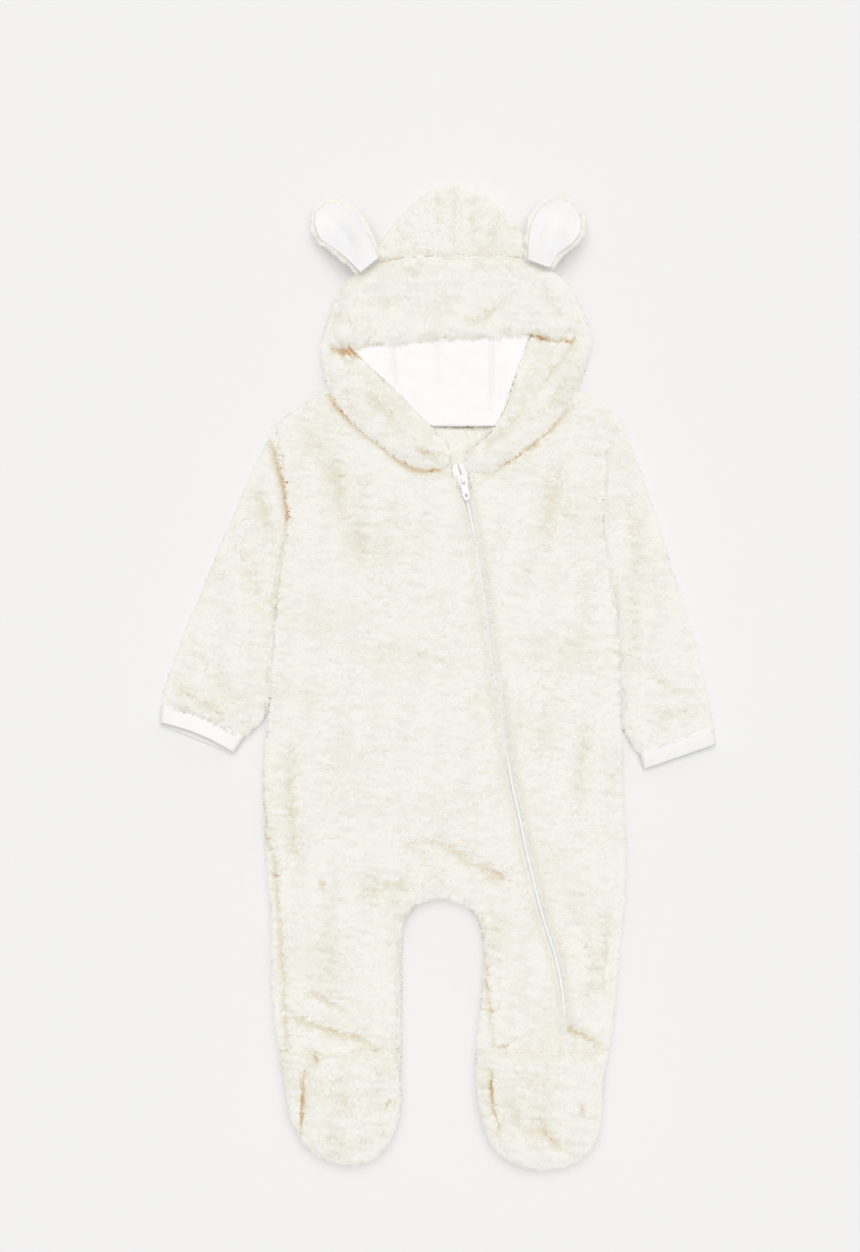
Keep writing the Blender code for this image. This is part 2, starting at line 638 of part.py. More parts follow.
def make_hood_half(hand, crown, foot, border):
    """One half of the hood: the back on the ground, folded forwards over the crown to the band."""
    seam = crown_seam[hand]
    columns, rows = len(seam), 8
    crown, foot, outer = walk(crown, columns), walk(foot, columns) + (0, NECK_SEAM), walk(border, 14)
    middle = -1 if hand == "right" else 0
    outer[-1] = foot[0 if hand == "right" else -1]
    centre = np.linspace(seam[middle], foot[middle], 14)
    ends = [straight(crown[k], seam[k], rows) for k in (0, -1)]
    sides = (outer, centre) if hand == "right" else (centre, outer)
    sheet = Sheet(patch(crown, seam, *ends), patch(seam, foot, *sides))
    folded = [f < (rows - 1) * (columns - 1) for f in range(len(sheet.faces))]
    closed = [folded[f] and cell[0] < 2 for f, cell in enumerate(sheet.cells)]
    centre_line = join(ends[middle], centre)
    low_edges = body_edges(crown, outer, top=PLUSH, bottom=BACK_EDGE)
    low_edges += seam_edges(foot, centre_line, top=PLUSH)
    high_edges = body_edges(crown, top=CROWN_EDGE, bottom=SHEET_TOP) + seam_edges(seam, centre_line)
    low = bottom_of(sheet.points, 0, low_edges)
    slit = np.full(len(sheet.points), PLUSH), np.full(len(sheet.points), PLUSH + CROWN_SLIT)
    high = np.maximum(top_of(sheet.points, CROWN_TOP, high_edges), slit[1] + 1)
    walls = [True] * len(sheet.faces)
    solid("hood_" + hand, sheet, [low, *slit, high], [walls, closed, folded], FLEECE)


def make_hood():
    foot = smooth(BACK_NECK)
    right = foot[foot[:, 0] < HOOD_MIDDLE[0]]
    left = foot[foot[:, 0] > HOOD_MIDDLE[0]]
    border = BAND_RIGHT_SIDE + CHEEK_RIGHT_SIDE[1:]
    make_hood_half("right", CROWN_RIGHT, np.vstack([right[::5], HOOD_MIDDLE]), border)
    border = BAND_LEFT_SIDE + CHEEK_LEFT_SIDE[-2::-1]
    make_hood_half("left", CROWN_LEFT, np.vstack([HOOD_MIDDLE, left[::-5][::-1]]), border)


def make_lining():
    sheet = Sheet(
        patch(
            walk(LINING_TOP, 12),
            walk(LINING_FOOT, 12),
            join(walk(LINING_RIGHT, 6), lined["right"]),
            join(walk(LINING_LEFT, 8), lined["left"]),
        )
    )
    bottom = np.full(len(sheet.points), SHEET_TOP)
    slab("hood_lining", sheet, bottom, bottom + LINING, JERSEY)


def make_band():
    """The band over the forehead, from the crown's seam to its lip, which hangs over the lining."""
    edge = join(lip["right"], lip["middle"], lip["left"])
    seam = join(crown_seam["right"], crown_seam["left"])
    left, right = walk(BAND_RIGHT_SIDE, 10), walk(BAND_LEFT_SIDE, 10)
    sheet = Sheet(patch(seam, edge, left, right))
    edges = body_edges(left, right, top=FRONT_EDGE, bottom=SHEET_TOP, radius=9.0)
    edges += [*seam_edges(seam), Edge(edge, OUTLINE_ROUND, ANKLE_SEAM, SHEET_TOP)]
    away = np.min([to_line(sheet.points, line) for line in (left, right)], axis=0)
    bottom = SHEET_TOP + (LINING + GAP) * roll(away, 14)
    crown = BAND_TOP + LIP_RISE * np.exp(-((to_line(sheet.points, edge) / 24) ** 2))
    slab("hood_band", sheet, bottom, top_of(sheet.points, crown, edges))


def make_facing(hand, border):
    """A plush facing turned in along the cheek: low at the lining, fullest near its outer edge."""
    inner = join(lined[hand], opened[hand])
    cheek = walk(border, 6)
    outer = join(cheek, neck[hand]) if hand == "right" else join(neck[hand], cheek)[::-1]
    top = lip[hand]
    foot = straight(outer[-1], inner[-1], len(top))
    sides = (outer, inner) if hand == "right" else (inner, outer)
    sheet = Sheet(patch(top, foot if hand == "right" else foot[::-1], *sides))
    to_inner, to_outer = to_line(sheet.points, inner), to_line(sheet.points, outer)
    share = to_inner / (to_inner + to_outer)
    crown = FACING_LOW + FACING_RISE * np.sin(np.clip(share / FACING_CREST, 0, 1) * np.pi / 2) ** 1.3
    edges = [Edge(outer, 8.0, FRONT_EDGE, SHEET_TOP), Edge(inner, 3.0, SHEET_TOP + LINING, SHEET_TOP)]
    edges += [Edge(top, 16.0, FACING_LOW, SHEET_TOP), *seam_edges(foot, bottom=SHEET_TOP)]
    bottom = np.full(len(sheet.points), SHEET_TOP)
    slab("hood_facing_" + hand, sheet, bottom, top_of(sheet.points, crown, edges))


# ---------------------------------------------------------------- ears


def make_ear(hand, root, tip, rows):
    """Plush back and jersey inner face of an ear, cupped, its root lying on the crown's seam."""
    root, tip = np.array(root, float), np.array(tip, float)
    axis = (tip - root) / np.linalg.norm(tip - root)
    across = np.array([axis[1], -axis[0]])
    count, columns = 10, 7

    def plan(border):
        along = np.linspace(0, rows[-1].along - border, count)
        shares = np.linspace(-1, 1, columns)
        before, after = (
            np.interp(along, [r.along for r in rows], [getattr(r, side_) for r in rows]) - border
            for side_ in (("after", "before") if hand == "right" else ("before", "after"))
        )
        wide = np.where(shares[None] < 0, before[:, None], after[:, None]) * shares[None]
        return root + along[::-1, None, None] * axis + wide[::-1, :, None] * across

    def floor_at(points):
        along = (points - root) @ axis
        wide = np.abs((points - root) @ across)
        floor = np.interp(along, [r.along for r in rows], [r.floor for r in rows])
        return floor + EAR_CUP * (wide / 20) ** 2 * np.clip(along / 20, 0, 1)

    back = Sheet(plan(0.0))
    floor = floor_at(back.points)
    slab("ear_back_" + hand, back, floor, floor + EAR_PILE)
    inner = Sheet(plan(EAR_BORDER))
    floor = floor_at(inner.points) + EAR_PILE + EAR_SEAM
    slab("ear_inner_" + hand, inner, floor, floor + EAR_JERSEY, JERSEY)


# ---------------------------------------------------------------- zip


def tape_width(places):
    """The tape's half width: narrower at the neck, where it shows between the facings."""
    return np.clip(5.4 + 0.4 * (places - 8), 5.4, TAPE_WIDTH)


def strip(name, start, end, offsets, bottom, top, finish, step=14):
    """A narrow strip along the zip, between two offsets from its line."""
    places = np.linspace(start, end, int((end - start) / step))
    line = at(zip_line, places)
    offsets = [offset(places) if callable(offset) else offset for offset in offsets]
    rows = np.stack([aside(line, offset) for offset in offsets], axis=1)
    sheet = Sheet(rows)
    return slab(name, sheet, np.full(len(sheet.points), bottom), np.full(len(sheet.points), top), finish)


def bar(bm, low, high):
    """A box between two corners, in the slider's own axes."""
    low, high = np.array(low, float), np.array(high, float)
    made = bmesh.ops.create_cube(bm, size=1)["verts"]
    bmesh.ops.scale(bm, vec=(high - low), verts=made)
    bmesh.ops.translate(bm, vec=(low + high) / 2, verts=made)
    return made


def on_zip(obj, origin, heading):
    """Places an object made in the slider's axes: Y along the zip to the feet, Z up."""
    obj.location = origin
    obj.rotation_euler = (0, 0, heading)
    return obj


def joined(name, pieces, finish):
    """One body from overlapping bmeshes, by Boolean unions that are applied."""
    objects = [finished(f"{name}_part_{k}", bm, finish, 0.6) for k, bm in enumerate(pieces)]
    base = objects[0]
    for other in objects[1:]:
        modifier = base.modifiers.new("union", "BOOLEAN")
        modifier.operation = "UNION"
        modifier.object = other
    graph = bpy.context.evaluated_depsgraph_get()
    mesh = bpy.data.meshes.new_from_object(base.evaluated_get(graph))
    for piece in objects:
        bpy.data.objects.remove(piece)
    mesh.name = name
    obj = bpy.data.objects.new(name, mesh)
    bpy.context.scene.collection.objects.link(obj)
    return obj


def box_piece(low, high, bevel=0.3):
    bm = bmesh.new()
    bar(bm, low, high)
    bmesh.ops.bevel(bm, geom=bm.edges[:], offset=bevel * MM, segments=1, affect="EDGES", material=-1)
    return bm


def scaled(values):
    return tuple(v * MM for v in values)


def make_zip():
    end = zip_end_at
    outer = {"right": tape_width, "left": lambda places: -tape_width(places)}
    strip("zip_tape_right", 0, end, (outer["right"], GAP / 2), SHEET_TOP, SHEET_TOP + TAPE, JERSEY)
    strip("zip_tape_left", 0, end, (-GAP / 2, outer["left"]), SHEET_TOP, SHEET_TOP + TAPE, JERSEY)
    chain_bottom = SHEET_TOP + TAPE + GAP
    half = CHAIN_WIDTH / 2 + GAP / 2
    strip("zip_chain", 6, end - 4, (half, -half), chain_bottom, chain_bottom + CHAIN, ZIP_PLASTIC, 12)
    bottom = chain_bottom + CHAIN + GAP
    centre = at(zip_line, np.array([SLIDER_FROM_NECK - 1, SLIDER_FROM_NECK, SLIDER_FROM_NECK + 1]))
    way = centre[2] - centre[0]
    heading = np.arctan2(way[1], way[0]) - np.pi / 2
    pin_height = bottom + SLIDER_PLATE + PIN_ABOVE_PLATE
    origin = (centre[1][0] * MM, centre[1][1] * MM, pin_height * MM)
    plate_top = -PIN_ABOVE_PLATE
    half_length, half_width = SLIDER_LENGTH / 2, SLIDER_WIDTH / 2
    plate = box_piece(
        scaled((-half_width, -half_length, plate_top - SLIDER_PLATE)),
        scaled((half_width, half_length, plate_top)),
        0.7,
    )
    arch_end = ARCH_INNER + ARCH_POST
    posts = [
        box_piece(scaled((-ARCH_HALF, low, plate_top - 1)), scaled((ARCH_HALF, high, ARCH_TOP)), 0.2)
        for low, high in ((-arch_end, -ARCH_INNER), (ARCH_INNER, arch_end))
    ]
    low, high = (-ARCH_HALF, -arch_end, ARCH_INNER), (ARCH_HALF, arch_end, ARCH_TOP)
    beam = box_piece(scaled(low), scaled(high), 0.25)
    on_zip(joined("zip_slider", [plate, *posts, beam], ZIP_PLASTIC), origin, heading)

    pin = bmesh.new()
    radius = PIN_RADIUS * MM
    bmesh.ops.create_cone(
        pin, cap_ends=True, segments=12, radius1=radius, radius2=radius, depth=TAB_WIDTH * MM
    )
    turned = [(z, y, -x) for x, y, z in (v.co for v in pin.verts)]
    for vert, place in zip(pin.verts, turned):
        vert.co = place
    half_tab, half_thick = TAB_WIDTH / 2, TAB_THICK / 2
    arms = [
        box_piece(scaled((low, 0, -half_thick)), scaled((high, TAB_EYE + 1, half_thick)), 0.15)
        for low, high in ((-half_tab, -TAB_ARM), (TAB_ARM, half_tab))
    ]
    low, high = (-half_tab, TAB_EYE, -half_thick), (half_tab, TAB_LENGTH, half_thick)
    blade = box_piece(scaled(low), scaled(high))
    on_zip(joined("pull_tab", [blade, *arms, pin], ZIP_PLASTIC), origin, heading)


# ---------------------------------------------------------------- the suit


def main():
    for obj in list(bpy.data.objects):
        bpy.data.objects.remove(obj)
    make_back()
    make_fronts()
    make_foot("right", FOOT_RIGHT_OUTER, FOOT_RIGHT_INNER, TOE_RIGHT, ankle["right"])
    make_foot("left", FOOT_LEFT_OUTER, FOOT_LEFT_INNER, TOE_LEFT, join(ankle["middle"], ankle["left"]))
    make_sleeves()
    make_hood()
    make_lining()
    make_band()
    make_facing("right", CHEEK_RIGHT_SIDE)
    make_facing("left", CHEEK_LEFT_SIDE)
    make_ear("right", EAR_ROOT_RIGHT, EAR_TIP_RIGHT, EAR_RIGHT)
    make_ear("left", EAR_ROOT_LEFT, EAR_TIP_LEFT, EAR_LEFT)
    make_zip()


main()
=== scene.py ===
from collections import namedtuple
from itertools import product

import bmesh
import bpy
import numpy as np
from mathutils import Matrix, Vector
from mathutils.bvhtree import BVHTree


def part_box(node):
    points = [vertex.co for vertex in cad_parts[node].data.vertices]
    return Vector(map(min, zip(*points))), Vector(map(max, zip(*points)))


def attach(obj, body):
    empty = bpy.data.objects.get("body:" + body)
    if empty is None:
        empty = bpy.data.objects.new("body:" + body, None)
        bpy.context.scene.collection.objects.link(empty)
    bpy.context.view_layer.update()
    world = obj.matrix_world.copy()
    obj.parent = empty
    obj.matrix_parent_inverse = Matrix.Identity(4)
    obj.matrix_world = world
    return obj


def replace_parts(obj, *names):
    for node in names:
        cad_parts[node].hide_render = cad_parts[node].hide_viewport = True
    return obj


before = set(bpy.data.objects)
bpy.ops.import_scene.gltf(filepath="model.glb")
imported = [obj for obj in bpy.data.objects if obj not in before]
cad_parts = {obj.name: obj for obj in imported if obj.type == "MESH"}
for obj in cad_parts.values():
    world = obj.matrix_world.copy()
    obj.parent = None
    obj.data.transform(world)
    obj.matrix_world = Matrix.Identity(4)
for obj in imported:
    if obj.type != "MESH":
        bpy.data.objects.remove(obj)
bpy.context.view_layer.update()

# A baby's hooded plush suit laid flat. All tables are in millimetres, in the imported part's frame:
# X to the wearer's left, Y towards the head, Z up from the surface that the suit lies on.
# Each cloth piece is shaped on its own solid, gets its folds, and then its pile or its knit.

MM = 0.001
rng = np.random.default_rng(20)

# ---------------- the pieces

# A plush piece: its node, the squares of its cloth's mesh, the length of its pile, the way that its nap
# lies in plan, how far the nap swirls, in radians, and its strands in each square millimetre.
Plush = namedtuple("Plush", "node voxel pile lay swirl density")
PLUSH = [
    Plush("back", 3.0, 4.6, (0, -1), 0.5, 0.9),
    Plush("front_right", 2.8, 5.0, (-1, -0.5), 0.5, 0.95),
    Plush("front_left", 2.8, 5.0, (1, 0.1), 0.5, 1.0),
    Plush("sleeve_right", 2.6, 5.0, (-1, -0.35), 0.5, 1.0),
    Plush("sleeve_left", 2.6, 5.0, (1, -0.35), 0.5, 1.0),
    Plush("foot_top_right", 2.4, 4.8, (-0.2, -1), 0.6, 1.0),
    Plush("foot_top_left", 2.4, 4.8, (0.2, -1), 0.6, 1.0),
    Plush("sole_right", 2.6, 4.4, (0, -1), 0.5, 0.9),
    Plush("sole_left", 2.6, 4.4, (0, -1), 0.5, 0.9),
    Plush("hood_right", 2.6, 4.6, (-0.5, 1), 0.5, 1.0),
    Plush("hood_left", 2.6, 4.6, (0.5, 1), 0.5, 1.0),
    Plush("hood_band", 2.2, 5.4, (0.1, -1), 0.7, 1.2),
    Plush("hood_facing_right", 2.2, 5.6, (-1, -0.7), 0.8, 1.3),
    Plush("hood_facing_left", 2.2, 5.6, (1, -0.7), 0.8, 1.3),
    Plush("ear_back_right", 1.6, 3.6, (-0.63, 0.77), 0.4, 1.5),
    Plush("ear_back_left", 1.6, 3.6, (0.34, 0.94), 0.4, 1.5),
]

# The folds of each cloth: a fold's line in plan, its half width, its depth, and how strongly painted tan
# shade darkens it.
CREASES = {
    "back": [
        ([(-9, 206), (15, 205.4), (42, 205)], 1.1, 0.2, 1.5),
    ],
    "front_right": [
        ([(-101, 202), (-84, 165), (-70, 125), (-58, 98)], 10, 2.2, 0.3),
        ([(-88, 231), (-81.4, 220.4), (-65, 204.8), (-48, 192.3), (-32, 178.4), (-20, 170.9), (-7, 169.4),
          (6, 171)], 3.8, 3.2, 1.75),
        ([(-133, 192), (-127, 165), (-121.5, 140), (-119.5, 126)], 2.2, 1.2, 0.5),
        ([(-118, -45), (-120, -90), (-116, -140), (-112, -160)], 7, 2.0, 0.4),
        ([(-95, -165), (-94, -172)], 3, 2.0, 0.9),
        ([(-141, -38), (-142, -86), (-139.6, -128), (-133, -149), (-129, -191), (-127, -231), (-124, -265),
          (-122, -304)], 3.2, 3.2, 0.75),
        ([(-7, -134), (14, -141), (33, -155), (51, -167)], 6, 2.2, 0.6),
        ([(-30, -126), (-6, -150), (8, -172)], 8, 1.2, 0.25),
        ([(42, -154), (50, -160), (59, -167)], 3.5, 2.2, 0.9),
        ([(-60, -176), (-35, -170), (-8, -172)], 7, 1.3, 0.3),
        ([(-105, -257), (-92, -264), (-77, -273)], 3.5, 2.4, 0.7),
        ([(-122, -277), (-103, -283), (-85, -290), (-66, -296), (-48, -302)], 4.5, 2.8, 0.75),
        ([(-106, -304), (-99, -307)], 3.5, 2.6, 1.2),
        ([(38, -208), (40, -230), (43, -262), (47, -292), (48, -306)], 3.2, 2.8, 0.7),
        ([(34, -272), (41, -271), (48, -273)], 2.6, 2.0, 0.8),
        ([(63, -298), (55, -302), (48, -306)], 3.5, 2.4, 0.8),
        ([(-70, 60), (-30, 70), (10, 62)], 10, 0.9, 0.15),
        ([(-60, 15), (-28, 22), (14, 10)], 12, 0.9, 0.15),
        ([(-88, -75), (-50, -62), (-12, -72)], 12, 0.8, 0.1),
        ([(-75, 165), (-50, 150), (-20, 120)], 11, 0.9, 0.15),
        ([(-86, -200), (-84, -235), (-90, -255)], 9, 1.1, 0.2),
    ],
    "front_left": [
        ([(97, 172), (90, 140), (88, 104)], 9, 2.2, 0.32),
        ([(105.4, 220.3), (93, 205.3), (77.3, 190.6), (61, 179.9), (46.6, 172.8), (30.4, 168.8)],
         3.8, 2.6, 1.15),
        ([(68, 183.5), (56, 176.5)], 3.0, 2.0, 1.2),
        ([(50, 171), (42, 166), (34, 168)], 2.6, 1.8, 0.6),
        ([(34, 162), (27, 160)], 2.4, 1.6, 0.5),
        ([(112, 120), (118, 70), (112, 30)], 9, 1.1, 0.2),
        ([(75, 30), (88, -10), (84, -60)], 10, 0.9, 0.15),
        ([(120, -40), (112, -90), (118, -135)], 9, 1.0, 0.2),
        ([(104, -285), (116, -293), (131, -302)], 3.8, 2.8, 0.9),
        ([(118, -205), (124, -240), (117, -268)], 7, 1.1, 0.25),
        ([(137, -190), (134, -230), (131, -262)], 3.5, 1.6, 0.35),
    ],
    "sleeve_right": [
        ([(-135, 192), (-129, 168), (-123.5, 142), (-121.5, 124), (-125, 108)], 4.2, 2.8, 1.3),
        ([(-126, 112), (-130, 80), (-133, 40), (-135, 0)], 4.5, 1.4, 0.35),
        ([(-165, 120), (-152, 88), (-138, 60)], 10, 1.8, 0.25),
        ([(-196, 22), (-180, 0), (-160, -22)], 8, 1.2, 0.25),
        ([(-150, 155), (-138, 130), (-133, 100)], 6, 1.3, 0.3),
        ([(-212, -8), (-190, -22), (-168, -38)], 5, 1.2, 0.35),
        ([(-178, 66), (-166, 40), (-152, 22)], 10, 1.0, 0.15),
    ],
    "sleeve_left": [
        ([(131, 165), (129, 140), (127, 118)], 4.0, 2.6, 1.1),
        ([(127, 110), (131, 70), (134, 20)], 4.5, 1.2, 0.3),
        ([(150, 150), (160, 105), (172, 60)], 9, 1.8, 0.25),
        ([(168, 10), (186, -8), (204, -16)], 8, 1.2, 0.25),
        ([(158, 75), (160, 45), (156, 10)], 6, 1.3, 0.3),
        ([(172, -40), (190, -30), (212, -26)], 5, 1.2, 0.35),
    ],
    "foot_top_right": [
        ([(-109, -322), (-111, -345), (-112.5, -373)], 3.0, 4.0, 1.2),
        ([(-101, -307), (-98, -314)], 3.5, 2.4, 1.2),
        ([(-37, -343), (-43, -351)], 3.0, 2.4, 0.8),
        ([(-48, -367), (-43, -373)], 3.0, 2.4, 0.8),
        ([(-92, -335), (-76, -345), (-62, -342)], 9, 1.2, 0.2),
        ([(-88, -372), (-72, -380), (-58, -376)], 7, 1.2, 0.25),
        ([(-86, -318), (-78, -350), (-72, -386)], 26, 0.8, 0.12),
    ],
    "foot_top_left": [
        ([(42.5, -321), (45, -345), (48.5, -369)], 3.0, 4.0, 1.2),
        ([(118, -349), (117, -355)], 3.5, 2.4, 1.0),
        ([(79, -362), (90, -374), (104, -385)], 5, 2.6, 0.6),
        ([(70, -322), (88, -332), (104, -326)], 9, 1.2, 0.2),
        ([(60, -345), (66, -362), (78, -378)], 6, 1.3, 0.25),
        ([(76, -320), (82, -350), (86, -388)], 26, 0.8, 0.12),
    ],
    "hood_band": [
        ([(53, 312), (42, 300), (28, 291)], 4.5, 2.4, 0.5),
        ([(-55, 312), (-44, 309), (-33, 311)], 7, 1.6, 0.3),
        ([(27, 344), (29, 336), (27, 328)], 2.6, 1.6, 0.4),
        ([(34, 344), (36, 335), (40, 329)], 2.6, 1.6, 0.4),
        ([(42, 343), (44, 336)], 2.2, 1.4, 0.4),
        ([(-30, 342), (-28, 333)], 3.0, 1.2, 0.3),
        ([(-12, 343), (-14, 334)], 2.6, 1.2, 0.3),
        ([(74, 284), (92, 277), (106, 276), (111, 283)], 3.0, 2.6, 0.9),
        ([(-84, 300), (-72, 292), (-70, 280)], 5, 1.4, 0.4),
        ([(84, 318), (96, 305), (100, 292)], 6, 1.2, 0.3),
        ([(-20, 300), (0, 305), (20, 318)], 10, 1.0, 0.15),
    ],
    "hood_facing_right": [
        ([(-82, 268), (-74, 267.5), (-66, 266)], 7, 7, 2.0),
        ([(-88, 256), (-80, 240), (-66, 222)], 6, 1.4, 0.2),
        ([(-60, 238), (-44, 218), (-26, 198)], 6, 1.2, 0.25),
        ([(-20, 190), (-8, 184), (2, 182)], 4, 1.4, 0.5),
    ],
    "hood_facing_left": [
        ([(72, 280.5), (90, 276.5), (107, 274)], 3.0, 2.8, 2.1),
        ([(107, 273), (112, 283)], 2.4, 2.0, 1.8),
        ([(108, 272), (101, 262), (91, 251), (84, 238)], 3.5, 2.0, 0.4),
        ([(66, 222), (56, 205), (42, 194)], 5, 1.3, 0.4),
        ([(98, 238), (86, 220), (70, 206)], 6, 1.2, 0.3),
    ],
    "hood_right": [
        ([(-40, 372), (-30, 362), (-22, 350)], 6, 1.4, 0.3),
        ([(-2, 396), (2, 380), (0, 362)], 5, 1.0, 0.25),
    ],
    "hood_left": [
        ([(52, 376), (44, 364), (40, 350)], 6, 1.4, 0.3),
        ([(27, 392), (26, 372), (29, 352)], 4, 1.2, 0.3),
    ],
}
KNIT_CREASES = {
    "hood_lining": [
        ([(-39, 284), (-37, 262), (-34, 238)], 2.0, 1.5, 1.0),
        ([(-3, 282), (-1, 258), (0, 232)], 4, 0.6, 0.3),
        ([(43.5, 284), (43.5, 250), (42, 218)], 1.6, 1.4, 0.9),
        ([(42, 284), (43, 276)], 2.2, 2.0, 2.5),
        ([(-22, 276), (-20, 250), (-14, 226)], 7, -0.9, 0),
        ([(20, 278), (22, 250), (24, 222)], 8, -0.9, 0),
        ([(58, 276), (56, 256), (52, 236)], 5, -0.8, 0),
        ([(-52, 276), (-44, 250)], 4, -0.6, 0),
    ],
    "ear_inner_right": [
        ([(-82, 372), (-74, 356), (-66, 338)], 4.5, 1.3, 0.7),
        ([(-93, 362), (-84, 350), (-76, 340)], 4, 0.9, 0.4),
        ([(-66, 366), (-60, 352)], 5, -0.5, 0),
    ],
    "ear_inner_left": [
        ([(104, 371), (98, 354), (91, 338)], 4.5, 1.3, 0.7),
        ([(88, 368), (85, 352), (82, 340)], 4, 0.9, 0.4),
        ([(110, 360), (102, 348)], 4, -0.5, 0),
    ],
}

ZIP_LINE = [
    (16, 175), (19.5, 163), (23, 147), (28, 124), (34, 88), (40, 47), (45, 6), (51, -27), (60, -85),
    (67, -117), (74, -150), (81.5, -181), (88, -204), (96, -229), (101, -253), (104, -281),
]
SEAM_END = (106, -307)  # of the closed seam below the zip
ZIP_SIDE = {"front_right": 1, "front_left": -1}
# Half the width that the pile leaves open over the zip, by the place's Y. Below 0 the two sides cross.
ZIP_SHOWS = (
    [-281, -274, -190, -80, -60, 118, 140, 160, 182],
    [-2.0, 0.8, 1.7, 1.7, -0.8, -0.6, 1.6, 4.4, 5.2],
)
PIN = (20.08, 160.57, 15.4)  # that the pull tab swings on
ZIP_WAY = (0.22497, -0.97436)  # down the zip, at the pin

# Each cloth's flat cut, as far as it shows: width and length in millimetres, all round on a tube,
# its area in square millimetres, and what it lies on.
Cut = namedtuple("Cut", "width length area on")


# ---------------- materials


class Wire:
    """A value in a material, on which arithmetic adds Math nodes."""

    def __init__(self, finish, socket):
        self.finish, self.socket = finish, socket

    def maths(self, operation, *values):
        values = [v.socket if isinstance(v, Wire) else v for v in values]
        made = self.finish.node("ShaderNodeMath", {"operation": operation}, dict(enumerate(values)))
        return Wire(self.finish, made.outputs[0])

    def __add__(self, other):
        return self.maths("ADD", self, other)

    def __mul__(self, other):
        return self.maths("MULTIPLY", self, other)

    def __sub__(self, other):
        return self.maths("SUBTRACT", self, other)

    def __rsub__(self, other):
        return self.maths("SUBTRACT", other, self)

    def held(self):
        """Kept between 0 and 1."""
        made = self.finish.node("ShaderNodeClamp", {}, {"Value": self.socket})
        return Wire(self.finish, made.outputs[0])

    __radd__, __rmul__ = __add__, __mul__


MIX_FACTOR, MIX_A, MIX_B, MIX_RESULT = 0, 6, 7, 2  # a colour Mix node's sockets, by number


class Finish:
    """A material: its constants stand on the shader's own sockets, its patterns are nodes."""

    def __init__(self, name, colour, roughness, **constants):
        self.material = bpy.data.materials.new(name)
        self.material.use_nodes = True
        self.tree = self.material.node_tree
        self.shader = self.tree.nodes["Principled BSDF"]
        self.shader.inputs["Base Color"].default_value = (*colour, 1)
        self.shader.inputs["Roughness"].default_value = roughness
        for socket, value in constants.items():
            self.shader.inputs[socket.replace("_", " ").title()].default_value = value
        self.material.diffuse_color = (*colour, 1)

    def node(self, kind, settings, sockets):
        made = self.tree.nodes.new(kind)
        for setting, value in settings.items():
            setattr(made, setting, value)
        for socket, value in sockets.items():
            if isinstance(value, Wire):
                value = value.socket
            if isinstance(value, bpy.types.NodeSocket):
                self.tree.links.new(value, made.inputs[socket])
            else:
                made.inputs[socket].default_value = value
        return made

    def place(self, stretch=(1, 1, 1), turn=0.0):
        """Object coordinates, stretched and turned in plan."""
        source = self.node("ShaderNodeTexCoord", {}, {})
        sockets = {"Vector": source.outputs["Object"], "Scale": stretch, "Rotation": (0, 0, turn)}
        return self.node("ShaderNodeMapping", {}, sockets).outputs["Vector"]

    def noise(self, scale, detail=2.0):
        sockets = {"Vector": self.place(), "Scale": scale, "Detail": detail}
        return Wire(self, self.node("ShaderNodeTexNoise", {}, sockets).outputs["Fac"])

    def waves(self, scale, direction="X", turn=0.0, bend=0.0):
        settings = {"wave_type": "BANDS", "bands_direction": direction}
        sockets = {"Vector": self.place(turn=turn), "Scale": scale, "Distortion": bend}
        return Wire(self, self.node("ShaderNodeTexWave", settings, sockets).outputs["Fac"])

    def cells(self, scale, stretch):
        settings = {"feature": "SMOOTH_F1"}
        sockets = {"Vector": self.place(stretch), "Scale": scale}
        return Wire(self, self.node("ShaderNodeTexVoronoi", settings, sockets).outputs["Distance"])

    def attribute(self, name):
        made = self.node("ShaderNodeAttribute", {"attribute_name": name}, {})
        return Wire(self, made.outputs["Fac"])

    def tint(self, amount, low, high):
        """Base colour from low to high as the amount goes from 0 to 1."""
        sockets = {MIX_FACTOR: amount, MIX_A: (*low, 1), MIX_B: (*high, 1)}
        made = self.node("ShaderNodeMix", {"data_type": "RGBA"}, sockets)
        self.tree.links.new(made.outputs[MIX_RESULT], self.shader.inputs["Base Color"])

    def relief(self, height, strength, depth):
        sockets = {"Height": height, "Strength": strength, "Distance": depth * MM}
        made = self.node("ShaderNodeBump", {}, sockets)
        self.tree.links.new(made.outputs["Normal"], self.shader.inputs["Normal"])


def plush_cloth():
    """The knitted ground under the pile, with painted tan shade where it lies deep in folds and close under
    other pieces, mottled at random.
    """
    finish = Finish("plush_cloth", (0.90, 0.87, 0.79), 1.0, sheen_weight=0.3, sheen_roughness=0.6)
    # Painted shade from the folds and crevices, with random mottling, runs the colour from cream to tan.
    painted_shade_and_mottle = finish.attribute("painted_shade") + finish.noise(28, 3) * 0.5 - 0.2
    finish.tint(painted_shade_and_mottle.held(), (0.86, 0.84, 0.76), (0.66, 0.54, 0.38))
    tufts = finish.cells(260, (0.6, 1, 1)) + finish.noise(900, 3) * 0.6
    finish.relief(tufts, 0.8, 1.2)
    return finish.material


def pile_fibre(name, colour):
    return Finish(name, colour, 1.0, sheen_weight=0.25, sheen_roughness=0.5).material


def jersey_knit():
    white, shaded = (0.96, 0.96, 0.965), (0.864, 0.8592, 0.8733)
    finish = Finish("jersey_knit", white, 0.9, sheen_weight=0.15)
    stitches = finish.waves(320, "X", bend=0.4) * 0.7 + finish.waves(260, "Y") * 0.3
    fibre = finish.noise(1500, 2)
    # Painted shade between the rows of stitches and in the folds, with random mottling.
    shade = (1 - stitches) * 0.2 + finish.noise(60, 3) * 0.3 + finish.attribute("painted_shade")
    finish.tint(shade.held(), white, shaded)
    finish.relief(stitches + fibre * 0.4, 0.5, 0.25)
    return finish.material


